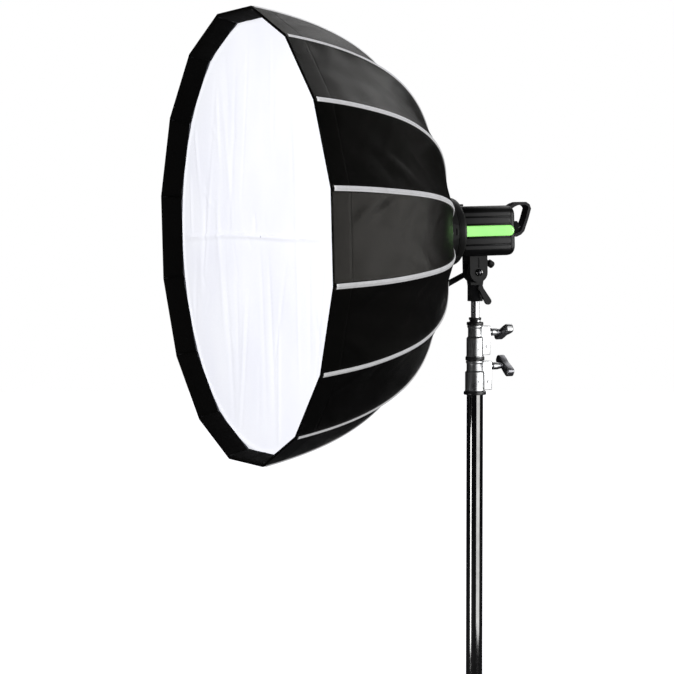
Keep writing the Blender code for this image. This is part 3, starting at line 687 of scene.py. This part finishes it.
def makeTape(index):
    # a folded ribbon over the seam, raised along its middle by the rib's pocket
    spec = tapeSpec
    along = np.linspace(spec["start"], ribLength - spec["end"], 76)
    radius, forward, angle = ribCurve(along)
    turn = ribTurn(index)
    step = math.pi / canopySpec["ribs"]
    outward = np.array([math.cos(turn), math.sin(turn), 0.0])
    sideways = np.array([-math.sin(turn), math.cos(turn), 0.0])
    normal = np.cos(angle)[:, None] * outward + np.array([0, 0, -1.0]) * np.sin(angle)[:, None]
    base = radius[:, None] * outward + np.array([0, 0, 1.0]) * forward[:, None]
    share = ease((along - 0.30) / 0.25)
    half = spec["halfWidth"] * (1 - share) + spec["hubHalfWidth"] * share
    chance = np.random.default_rng(900 + index)
    wobble = 0.0003 * np.sin(along * chance.uniform(28, 46) + chance.uniform(0, 6))
    across = np.array([-1.0, -0.92, -0.6, -0.38, -0.2, 0.0, 0.2, 0.38, 0.6, 0.92, 1.0])
    bump = spec["ridge"] * np.exp(-(across / 0.36) ** 2)
    lift = 0.0004 + bump + 0.00025 * np.exp(-((np.abs(across) - 0.96) / 0.06) ** 2)
    out = lift[None, :] - np.abs(across)[None, :] * half[:, None] * math.tan(step) * np.cos(angle)[:, None]
    points = (base[:, None] + sideways * (across[None, :] * half[:, None] + wobble[:, None])[..., None]
              + normal[:, None] * out[..., None])
    flat = np.stack([np.broadcast_to(across[None, :] * half[:, None], out.shape),
                     np.broadcast_to(along[:, None], out.shape)], -1)
    tape = makeGrid(f"seamTape{index + 1:02d}", points, materials["tape"], lampSpace, cloth=flat)
    addModifier(tape, "SOLIDIFY", thickness=spec["thickness"], offset=0)
    applyModifiers(tape)
    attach(tape, bodyOfRib(index))
    return tape


lipSpec = {
    "profile": ((0.0000, -0.0004), (-0.0012, 0.0004), (-0.0016, 0.0018), (-0.0008, 0.0032),
                (0.0015, 0.0044), (0.0050, 0.0056), (0.0110, 0.0068), (0.0200, 0.0078),
                (0.0290, 0.0084), (0.0375, 0.0084), (0.0392, 0.0080)),
    "columns": 20, "thickness": 0.0008, "flat": (0.166, 0.045),
}


def makeLip():
    # the bound edge and the dark band inside it, from rib to rib
    spec = lipSpec
    share = np.linspace(0, 1, spec["columns"] + 1)
    for i in range(canopySpec["ribs"]):
        chance = np.random.default_rng(300 + i)
        phase = chance.uniform(0, 6.28, 3)
        rows = []
        flat = []
        for k, (along, depth) in enumerate(spec["profile"]):
            radius, forward, angle = ribCurve(along, depth)
            turns = (ribTurn(i), ribTurn(i + 1))
            start = np.array([radius * math.cos(turns[0]), radius * math.sin(turns[0]), forward])
            end = np.array([radius * math.cos(turns[1]), radius * math.sin(turns[1]), forward])
            points = start[None] * (1 - share[:, None]) + end[None] * share[:, None]
            wave = (0.0005 * np.sin(share * 19 + phase[0]) + 0.0004 * np.sin(share * 37 + phase[1])
                    - 0.0012 * np.sin(share * math.pi)) * min(1, max(0, k - 4) / 4)
            middle = (turns[0] + turns[1]) / 2
            points = points + np.array([math.cos(middle), math.sin(middle), 0]) * wave[:, None]
            rows.append(points)
            flat.append(np.stack([share * spec["flat"][0], np.full_like(share, along + depth)], -1))
        lip = makeGrid(f"frontLip{i + 1:02d}", np.array(rows), materials["lip"], lampSpace,
                       cloth=np.array(flat))
        addModifier(lip, "SOLIDIFY", thickness=spec["thickness"], offset=0)
        applyModifiers(lip)
        foldPanel(lip, i)
        if i == 0:
            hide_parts("front_lip")
    print("front lip made")


clothSpec = {
    "front": {"node": "front_diffuser", "radius": 0.4078, "forward": 0.4482, "keep": 0.12, "sag": 0.004,
              "rings": 90, "prefix": "frontDiffuser"},
    "inner": {"node": "inner_diffuser", "radius": 0.250, "forward": 0.290, "keep": 0.28, "sag": 0.006,
              "rings": 30, "prefix": "innerBaffle"},
}


def clothRelief(x, y, radius, seed):
    # soft upright folds, denser away from the lamp's near side, and one level crease
    chance = np.random.default_rng(seed)
    distance = np.hypot(x, y) / radius
    relief = np.zeros_like(x)
    for k in range(70):
        turn = chance.normal(0, 0.14) if k % 5 else chance.uniform(-1.2, 1.2)
        cx = radius * (chance.uniform(-0.95, 0.25) if k % 3 else chance.uniform(-0.8, 0.9))
        cy = radius * chance.uniform(-0.85, 0.85)
        reach = chance.uniform(0.04, 0.16) if k % 5 else chance.uniform(0.012, 0.03)
        wide = chance.uniform(0.0035, 0.0090)
        across = (x - cx) * math.cos(turn) + (y - cy) * math.sin(turn)
        along = -(x - cx) * math.sin(turn) + (y - cy) * math.cos(turn)
        relief += (chance.uniform(-0.0014, 0.0016) * np.exp(-(across / wide) ** 2)
                   * np.exp(-(along / reach) ** 4))
    relief += 0.0026 * np.exp(-((y + 0.003 * np.sin(x * 9)) / 0.0040) ** 2)
    relief *= ease((0.97 - distance) / 0.06)
    return relief + 0.0022 * np.exp(-((distance - 0.982) / 0.009) ** 2)


def makeCloth(spec, material, seed):
    ribs = canopySpec["ribs"]
    share = np.linspace(0, 1, 25)
    rings = ease(np.linspace(0.0, 1.0, spec["rings"])) * 0.5 + np.linspace(0.0, 1.0, spec["rings"]) * 0.5
    rings[0] = 0.004
    for i in range(ribs):
        turns = (ribTurn(i), ribTurn(i + 1))
        corner = [np.array([math.cos(t), math.sin(t)]) * spec["radius"] for t in turns]
        edge = corner[0][None] * (1 - share[:, None]) + corner[1][None] * share[:, None]
        x = rings[:, None] * edge[None, :, 0]
        y = rings[:, None] * edge[None, :, 1]
        z = (spec["forward"] - spec["sag"] * (1 - rings[:, None] ** 2)
             + clothRelief(x, y, spec["radius"], seed))
        gore = makeGrid(f"{spec['prefix']}{i + 1:02d}", np.stack([x, y, z], -1)[::-1].copy(), material,
                        lampSpace, cloth=np.stack([x, y], -1)[::-1].copy())
        addModifier(gore, "SOLIDIFY", thickness=0.0005, offset=0)
        applyModifiers(gore)
        smoothShade(gore, 40)
        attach(gore, "hub")
        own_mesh(gore)
        if i == 0:
            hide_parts(spec["node"])
    print(spec["prefix"], "made")


makeCamera()
makeStage()
makeWorld()
makeLights()
makePanels()
makeLip()
makeCloth(clothSpec["front"], materials["diffusion"], 5)
makeCloth(clothSpec["inner"], materials["baffle"], 6)


def roundedRectangle(width, height, corner, steps=6):
    x, y = width / 2 - corner, height / 2 - corner
    outline = []
    for centre, start in (((x, y), 0), ((-x, y), 90), ((-x, -y), 180), ((x, -y), 270)):
        outline += arcPoints(centre, corner, start, start + 90, steps)
    return outline


def softened(profile, radius):
    # the same profile with its corners eased
    points = [np.array(p, float) for p in profile]
    eased = [points[0]]
    for before, here, after in zip(points, points[1:], points[2:]):
        back, ahead = before - here, after - here
        reach = min(radius, np.linalg.norm(back) * 0.45, np.linalg.norm(ahead) * 0.45)
        start = here + back / np.linalg.norm(back) * reach
        end = here + ahead / np.linalg.norm(ahead) * reach
        for t in (0, 0.33, 0.67, 1):
            eased.append(start * (1 - t) ** 2 + here * 2 * t * (1 - t) + end * t ** 2)
    return [tuple(p) for p in eased + [points[-1]]]


def loft(name, rings, material, space):
    # rings is a list of (outline, height), all with as many points
    count = len(rings[0][0])
    points = [(x, y, z) for outline, z in rings for x, y in outline]
    faces = [tuple(range(count))[::-1], tuple(range(len(points) - count, len(points)))]
    for i in range(len(rings) - 1):
        for j in range(count):
            k = (j + 1) % count
            faces.append((i * count + j, i * count + k, (i + 1) * count + k, (i + 1) * count + j))
    obj = makeMesh(name, points, faces, material, space)
    smoothShade(obj, 40)
    return obj


def slabs(name, boxes, material, space, bevel=0.0005):
    bm = bmesh.new()
    for low, high in boxes:
        middle = [(a + b) / 2 for a, b in zip(low, high)]
        size = [b - a for a, b in zip(low, high)]
        bmesh.ops.create_cube(bm, size=1.0,
                              matrix=Matrix.Translation(middle) @ Matrix.Diagonal((*size, 1)))
    mesh = bpy.data.meshes.new(name)
    bm.to_mesh(mesh)
    bm.free()
    mesh.transform(space)
    mesh.materials.append(material)
    obj = linkObject(name, mesh)
    addModifier(obj, "BEVEL", width=bevel, segments=3, limit_method="ANGLE")
    applyModifiers(obj)
    smoothShade(obj, 40)
    return obj


def turnedPart(name, profile, material, space, body, corner=0.0006, steps=64, closed=False):
    # corner is the eased edges' size; a closed profile is a ring with a bore
    if closed:
        profile = list(profile) + [profile[0]]
    obj = lathe(name, softened(profile, corner), material, space, steps)
    smoothShade(obj, 50)
    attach(obj, body)
    return obj


def standFor(obj, node, body=None):
    if body:
        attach(obj, body)
    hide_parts(node)
    return obj


def aimed(place, direction):
    # a space at a place whose z points along a direction
    turn = Vector(direction).to_track_quat("Z", "Y").to_matrix().to_4x4()
    return Matrix.Translation(place) @ turn


def pins(name, places, radius, half, material, body):
    # short round pins, each place with its direction, in one piece
    meshes = []
    profile = softened([(0, -half), (radius, -half), (radius, half), (0, half)], radius * 0.4)
    for i, (place, direction) in enumerate(places):
        meshes.append(lathe(f"{name}{i}", profile, material, aimed(place, direction), 16))
    bm = bmesh.new()
    for each in meshes:
        bm.from_mesh(each.data)
        bpy.data.objects.remove(each)
    mesh = bpy.data.meshes.new(name)
    bm.to_mesh(mesh)
    bm.free()
    mesh.materials.append(material)
    obj = linkObject(name, mesh)
    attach(obj, body)
    return obj


headSpec = {"width": 0.092, "height": 0.096, "corner": 0.016, "front": 0.045, "seam": -0.055,
            "rear": -0.068, "rearRound": 0.0110, "rearInset": 0.001, "grooveDepth": 0.0012,
            "grooves": ((-0.0278, -0.0255), (-0.0136, -0.0108), (0.0108, 0.0136),
                        (0.0255, 0.0278))}


def makeHead():
    spec = headSpec
    half, inside = spec["width"] / 2, spec["width"] / 2 - spec["grooveDepth"]
    x, y = half - spec["corner"], spec["height"] / 2 - spec["corner"]
    side = [(half, -y)]
    for low, high in spec["grooves"]:
        side += [(half, low), (inside, low + 0.0003), (inside, high - 0.0003), (half, high)]
    right = side + arcPoints((x, y), spec["corner"], 0, 90, 10)
    outline = right + [(-x, y) for x, y in right[::-1]]
    outline = [p for p in outline if p[1] > -y] + arcPoints((-x, -y), spec["corner"], 180, 270, 10)
    outline += arcPoints((x, -y), spec["corner"], 270, 360, 10)
    body = extrude("lampBody", outline, spec["seam"], spec["front"], materials["shell"], lampSpace,
                   0.0004)
    standFor(body, "lamp_housing", "head")

    rings = []
    for turn in np.linspace(0, 90, 8):
        inset = spec["rearRound"] * (1 - math.sin(math.radians(turn)))
        height = spec["rear"] + spec["rearRound"] * (1 - math.cos(math.radians(turn)))
        less = spec["rearInset"] + 2 * inset
        rings.append((roundedRectangle(spec["width"] - less, spec["height"] - less,
                                       max(spec["corner"] - inset * 0.6, 0.005), 10), height))
    rings.append((rings[-1][0], spec["seam"] - 0.0003))
    cap = loft("rearCap", rings, materials["shell"], lampSpace)
    for i, (x, y) in enumerate(((0.0275, 0.0290), (-0.0280, -0.0190))):
        cutter = lathe(f"pocket{i}", [(0, -0.010), (0.0045, -0.010), (0.0045, 0.0035), (0, 0.0035)],
                       materials["shell"], lampSpace @ Matrix.Translation((x, y, spec["rear"])), 24)
        addModifier(cap, "BOOLEAN", operation="DIFFERENCE", object=cutter, solver="EXACT")
        applyModifiers(cap)
        bpy.data.objects.remove(cutter)
    smoothShade(cap, 40)
    standFor(cap, "rear_cap", "head")

    for name, way in (("Near", 1), ("Far", -1)):
        out = sorted((way * half, way * (half + 0.00025)))
        bands = []
        for low, high in ((0.0141, 0.0250), (0.0284, 0.0350)):
            bands += [((out[0], low, -0.0510), (out[1], high, 0.0440)),
                      ((out[0], -high, -0.0510), (out[1], -low, 0.0440))]
        strip = slabs("lampBands" + name, bands, materials["band"], lampSpace, 0.0001)
        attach(strip, "head")
        makeStripe("sideStripe" + name, "side_stripe_" + name.lower(), way)

    ring = turnedPart("mountRing", [
        (0.0500, 0.0657), (0.0630, 0.0657), (0.0650, 0.0640), (0.0650, 0.0630), (0.0645, 0.0628),
        (0.0645, 0.0619), (0.0650, 0.0617), (0.0650, 0.0530), (0.0640, 0.0500), (0.0610, 0.0475),
        (0.0550, 0.0453), (0.0500, 0.0453)], materials["ring"], lampSpace, "head", 0.0008, 96, True)
    standFor(ring, "mount_ring")
    pins("ringPin", [(lampSpace @ Vector((0.0475, -0.0265, 0.0462)), lampSide)], 0.0012, 0.0016,
         materials["steel"], "head")
    print("flash head made")


def makeStripe(name, node, way):
    # a domed strip along the side with a round rear end
    low, radius, front = -0.0517, 0.0103, 0.0420
    heights = list(np.linspace(front, low, 30)) + [low - radius * math.sin(math.radians(a))
                                                   for a in (15, 30, 45, 60, 72, 82, 88)]
    across = np.array([-1, -1, -0.96, -0.85, -0.6, -0.3, 0, 0.3, 0.6, 0.85, 0.96, 1, 1])
    out = 0.0015 * (1 - 0.35 * np.abs(across) ** 4)
    out[[0, -1]] = 0
    out[[1, -2]] = 0.0007
    rows = []
    for z in heights:
        wide = radius if z >= low else math.sqrt(max(radius ** 2 - (z - low) ** 2, 1e-9))
        fade = 1 if z >= low else wide / radius
        rows.append([(way * (headSpec["width"] / 2 + 0.0003 + o * (0.6 + 0.4 * fade)), wide * a, z)
                     for a, o in zip(across * way, out)])
    stripe = makeGrid(name, np.array(rows), materials["green"], lampSpace)
    smoothShade(stripe, 60)
    standFor(stripe, node, "head")


makeHead()


def makeHubDetails():
    places = []
    for i in range(canopySpec["ribs"]):
        turn = ribTurn(i)
        place = lampSpace @ Vector((0.074 * math.cos(turn), 0.074 * math.sin(turn), 0.0985))
        places.append((place, lampSpace.to_3x3() @ Vector((-math.sin(turn), math.cos(turn), 0))))
    pins("hubPins", places, 0.0014, 0.0062, materials["steel"], "hub")


def makeBracketDetails():
    tilt = lampSpace.to_3x3().to_4x4()
    near = Matrix.Translation(pivot) @ tilt @ Matrix.Rotation(math.pi / 2, 4, "Y")
    turnedPart("boltWasher", [
        (0.0, 0.0162), (0.0070, 0.0162), (0.0070, 0.0178), (0.0052, 0.0180), (0.0050, 0.0166),
        (0.0, 0.0166)],
        materials["glossBlack"], near, "head", 0.0004, 40)
    turnedPart("boltHead", [
        (0.0, 0.0165), (0.0040, 0.0165), (0.0040, 0.0180), (0.0030, 0.0190), (0.0, 0.0195)],
        materials["castGrey"], near, "head", 0.0006, 32)
    # a thin near-black strip flush on the cheek: painted shade standing in for a groove
    groove = slabs("cheekGroove", [((0.0158, 0.0095, -0.0016), (0.01615, 0.0290, 0.0016))],
                   materials["gap"], Matrix.Translation(pivot) @ tilt, 0.0001)
    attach(groove, "head")


def makeRearDetails():
    # a ribbed dial with a pale index line
    teeth = []
    for i in range(96):
        turn = 2 * math.pi * i / 96
        radius = 0.0115 if i % 2 else 0.0111
        teeth.append((radius * math.cos(turn), radius * math.sin(turn)))
    base = lampSpace @ Matrix.Translation((0.0275, 0.0060, -0.0683))
    dial = extrude("rearDial", teeth, -0.0094, 0.0, materials["rubber"], base, 0.0002, 1)
    standFor(dial, "rear_dial", "rear_dial")
    turnedPart("dialFace", [
        (0.0, -0.0094), (0.0104, -0.0094), (0.0104, -0.0101), (0.0090, -0.0108), (0.0, -0.0104)],
        materials["glossBlack"], base, "rear_dial", 0.0003, 48)
    # the pale mark shares the seam tape's material, painted glow included
    mark = slabs("dialMark", [((-0.0004, 0.0050, -0.0109), (0.0004, 0.0088, -0.0102))],
                 materials["tape"], base, 0.0001)
    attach(mark, "rear_dial")


makeHubDetails()
makeBracketDetails()
makeRearDetails()


standSpec = {
    "upperCollar": [(0.0129, 1.0777), (0.0150, 1.0777), (0.0150, 1.0735), (0.0136, 1.0720),
                    (0.0136, 1.0560), (0.0165, 1.0530), (0.0165, 1.0185), (0.0173, 1.0180),
                    (0.0173, 1.0101), (0.0129, 1.0101)],
    "lowerCollar": [(0.0129, 1.0090), (0.0175, 1.0090), (0.0175, 1.0050), (0.0162, 1.0035),
                    (0.0162, 0.9900), (0.0190, 0.9870), (0.0190, 0.9510), (0.0215, 0.9490),
                    (0.0215, 0.9437), (0.0129, 0.9437)],
    "middleRing": [(0.0160, 1.0168), (0.0180, 1.0168), (0.0185, 1.0160), (0.0185, 1.0108), (0.0180, 1.0099),
                   (0.0160, 1.0099)],
    "lowerRing": [(0.0185, 0.9500), (0.0205, 0.9503), (0.0218, 0.9490), (0.0218, 0.9440), (0.0208, 0.9433),
                  (0.0152, 0.9433)],
    "upperBoss": (1.0200, 1.0765, 0.0302), "lowerBoss": (0.9520, 1.0080, 0.0337),
    "bossHalf": 0.0075, "bossStart": 0.010, "split": 0.0009, "tubeWall": 0.0014,
}


def makeBoss(name, low, high, reach, body):
    # the clamp's two cheeks with a slit between them, and the cross bolt's ends
    half, split = standSpec["bossHalf"], standSpec["split"]
    inner = standSpec["bossStart"]
    cheeks = slabs(name, [((split, inner, low), (half, reach, high)),
                          ((-half, inner, low), (-split, reach, high))],
                   materials["castSilver"], standSpace, 0.0013)
    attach(cheeks, body)
    middle = (low + high) / 2
    ends = [(Vector((way * (half + 0.0006), pivot.y + reach - 0.0075, middle - 0.012)), lampSide)
            for way in (1, -1)]
    pins(name + "Bolt", ends, 0.0030, 0.0012, materials["steel"], body)


def makeStand():
    spec = standSpec
    upper = turnedPart("upperCollar", spec["upperCollar"], materials["polished"], standSpace, "mid_riser",
                       0.0008, 96, True)
    standFor(upper, "upper_collar")
    lower = turnedPart("lowerCollar", spec["lowerCollar"], materials["polished"], standSpace, "stand",
                       0.0008, 96, True)
    standFor(lower, "lower_collar")
    turnedPart("middleRing", spec["middleRing"], materials["collarBlack"], standSpace, "mid_riser", 0.0005,
               80, True)
    turnedPart("lowerRing", spec["lowerRing"], materials["collarBlack"], standSpace, "stand", 0.0005,
               80, True)
    makeBoss("upperBoss", *spec["upperBoss"], "mid_riser")
    makeBoss("lowerBoss", *spec["lowerBoss"], "stand")
    near = Vector((0.995, -0.09, 0))
    pins("upperSetScrew", [(standSpace @ (near * 0.0165 + Vector((0, 0, 1.0310))), near)], 0.0012, 0.0005,
         materials["collarBlack"], "mid_riser")
    pins("lowerSetScrew", [(standSpace @ (near * 0.0190 + Vector((0, 0, 0.9690))), near)], 0.0012, 0.0005,
         materials["collarBlack"], "stand")

    riser = turnedPart("topRiser", [
        (0.0, 1.1500), (0.0070, 1.1500), (0.0080, 1.1488), (0.0080, 1.0777), (0.0100, 1.0777),
        (0.0100, 0.150), (0.0086, 0.150), (0.0086, 1.068), (0.0, 1.068)],
        materials["steel"], standSpace, "top_riser", 0.0003, 64)
    standFor(riser, "top_riser")
    cap = turnedPart("topCap", [
        (0.0084, 1.0930), (0.0115, 1.0930), (0.0121, 1.0922), (0.0121, 1.0886), (0.0105, 1.0878),
        (0.0105, 1.0848), (0.0155, 1.0840), (0.0162, 1.0828), (0.0162, 1.0786), (0.0155, 1.0780),
        (0.0084, 1.0780)], materials["collarBlack"], standSpace, "top_riser", 0.0005, 64, True)
    standFor(cap, "top_cap")
    side = Vector((0.997, 0.08, 0))
    pins("capBall", [(standSpace @ (side * 0.0108 + Vector((0, 0, 1.0862))), side)], 0.0030, 0.0022,
         materials["polished"], "top_riser")
    for name, node, body, radius, low, high in (
            ("midTube", "mid_tube", "mid_riser", 0.0125, 0.120, 1.0767),
            ("columnTube", "column_tube", "stand", 0.0160, 0.060, 0.9432)):
        bore = radius - spec["tubeWall"]
        tubePart = turnedPart(name, [(radius, high), (radius, low), (bore, low), (bore, high)],
                              materials["glossBlack"], standSpace, body, 0.0002, 96, True)
        standFor(tubePart, node)
    print("column and collars made")


knobSpec = {
    "upper_knob": {"at": (0.0305, 1.064), "turn": -20, "finish": "castSilver"},
    "lower_knob": {"at": (0.0340, 0.998), "turn": 33, "finish": "castGrey"},
    "leg_knob": {"at": (0.0363, None), "turn": 0, "finish": "castGrey"},
}


# turned pieces of every knob: profile, finish, eased corner and steps around
knobParts = {
    "Stem": ([(0.0, 0.0), (0.0045, 0.0), (0.0045, 0.0040), (0.0072, 0.0044), (0.0070, 0.0165),
              (0.0, 0.0170)], "polished", 0.0006, 40),
    "Neck": ([(0.0, 0.0165), (0.0060, 0.0165), (0.0062, 0.0205), (0.0052, 0.0225), (0.0056, 0.0262),
              (0.0, 0.0262)], "castGrey", 0.0006, 40),
    "Boss": ([(0.0, 0.0388), (0.0046, 0.0388), (0.0046, 0.0402), (0.0036, 0.0408), (0.0, 0.0408)],
             "steel", 0.0004, 32),
}


def wingOutline():
    # a bar a little narrower beside the stem than at its rounded ends
    outline = roundedRectangle(0.0560, 0.0172, 0.0064, 8)
    dense = []
    for a, b in zip(outline, outline[1:] + outline[:1]):
        steps = max(1, int(math.dist(a, b) / 0.002))
        dense += [(a[0] + (b[0] - a[0]) * k / steps, a[1] + (b[1] - a[1]) * k / steps) for k in range(steps)]
    return [(x, y * (1 - 0.16 * math.exp(-(x / 0.009) ** 2))) for x, y in dense]


def makeKnobs():
    for body, spec in knobSpec.items():
        out, height = spec["at"]
        if height is None:
            height = joints["leg_1_hinge"]["pos_m"][2] + 0.004
        space = (Matrix.Translation((0, pivot.y + out, height))
                 @ Matrix.Rotation(math.radians(spec["turn"]), 4, "Y")
                 @ Matrix.Rotation(-math.pi / 2, 4, "X"))
        finish = materials[spec["finish"]]
        name = "".join(w.capitalize() for w in body.split("_"))
        name = name[0].lower() + name[1:]
        bar = extrude(name, wingOutline(), 0.0250, 0.0400, finish, space, 0.0024, 4)
        standFor(bar, body, body)
        for part, (profile, coating, corner, steps) in knobParts.items():
            turnedPart(name + part, profile, materials[coating], space, body, corner, steps)
        # dark flat plates at each end of the bar's top: painted shade standing in for recesses
        ends = slabs(name + "Recess", [((-0.0225, -0.0034, 0.0394), (-0.0085, 0.0034, 0.0400)),
                                       ((0.0085, -0.0034, 0.0394), (0.0225, 0.0034, 0.0400))],
                     materials["casting"], space, 0.0002)
        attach(ends, body)
    print("knobs made")


legSpec = {"spread": math.radians(54.8), "turns": (-90, 30, 150), "bracePoint": 0.300,
           "footRibs": 6, "ribTop": -0.5665, "ribPitch": 0.0040}


def makeLegs():
    for i, turn in enumerate(legSpec["turns"]):
        name, body = f"leg{i + 1}", f"leg_{i + 1}"
        place = Vector(joints[f"leg_{i + 1}_hinge"]["pos_m"])
        space = (Matrix.Translation(place) @ Matrix.Rotation(math.radians(turn), 4, "Z")
                 @ Matrix.Rotation(-legSpec["spread"], 4, "Y"))
        tubePart = turnedPart(name + "Tube", [
            (0.0, 0.0070), (0.0088, 0.0070), (0.0088, -0.5500), (0.0, -0.5500)],
            materials["glossBlack"], space, body, 0.0010, 48)
        standFor(tubePart, body)
        ribs = []
        for k in range(legSpec["footRibs"]):
            top = legSpec["ribTop"] - legSpec["ribPitch"] * k
            ribs += [(0.0125, top), (0.0119, top - 0.0010), (0.0119, top - 0.0025),
                     (0.0125, top - 0.0035)]
        turnedPart(name + "Foot", [(0.0, -0.5440), (0.0102, -0.5440), (0.0108, -0.5600), (0.0125, -0.5640)]
                   + ribs + [(0.0122, -0.5910), (0.0078, -0.6000), (0.0, -0.6000)],
                   materials["rubber"], space, body, 0.0006, 40)
        turnedPart(name + "Sleeve", [(0.0, 0.0072), (0.0093, 0.0072), (0.0093, -0.0130), (0.0, -0.0130)],
                   materials["collarBlack"], space, body, 0.0008, 40)
        across = Vector((-math.sin(math.radians(turn)), math.cos(math.radians(turn)), 0))
        rivet = space @ Vector((0, 0, -legSpec["bracePoint"]))
        pins(name + "Rivet", [(rivet, across)], 0.0030, 0.0125, materials["steel"], body)
        pins(name + "HingePin", [(place, across)], 0.0028, 0.0142, materials["steel"], "leg_collar")
        brace = Vector(joints[f"brace_{i + 1}_hinge"]["pos_m"])
        pins(name + "BracePin", [(brace, across)], 0.0026, 0.0128, materials["steel"], "stand")
    print("legs made")


makeStand()
makeKnobs()
makeLegs()


# nodes drawn as they came from the frame, by material, and their rounded edges
finishes = {
    "ribRod": [f"rib_{i + 1:02d}" for i in range(16)],
    "ring": ["hub_ring"],
    "shell": ["power_socket"],
    "handle": ["carry_handle"],
    "casting": ["hub_latch_near", "hub_latch_far", "tilt_yoke", "stand_adapter", "tilt_lever",
                "spigot_lever", "umbrella_knob"],
    "rubber": ["test_button", "lamp_button"],
    "glossBlack": ["brace_1", "brace_2", "brace_3"],
    "collarBlack": ["leg_collar", "base_collar"],
    "steel": ["mount_release"],
    "screen": ["rear_screen"],
    "frosted": ["glass_dome"],
    "clearGlass": ["flash_tube", "modelling_lamp"],
}
edgeRound = {"tilt_yoke": 0.0010, "stand_adapter": 0.0008, "carry_handle": 0.0012, "spigot_lever": 0.0014,
             "tilt_lever": 0.0008, "leg_collar": 0.0009, "base_collar": 0.0009, "hub_ring": 0.0005,
             "brace_1": 0.0005, "brace_2": 0.0005, "brace_3": 0.0005, "power_socket": 0.0005,
             "rear_screen": 0.0006, "umbrella_knob": 0.0006, "mount_release": 0.0005}


def finishNodes():
    for finish, names in finishes.items():
        for name in names:
            mesh = nodeObjects[name].data
            mesh.materials.clear()
            mesh.materials.append(materials[finish])
    for name, width in edgeRound.items():
        addModifier(nodeObjects[name], "BEVEL", width=width, segments=2, limit_method="ANGLE",
                    angle_limit=math.radians(38), harden_normals=False)
    print("kept parts finished")


finishNodes()

gatherStandParts()
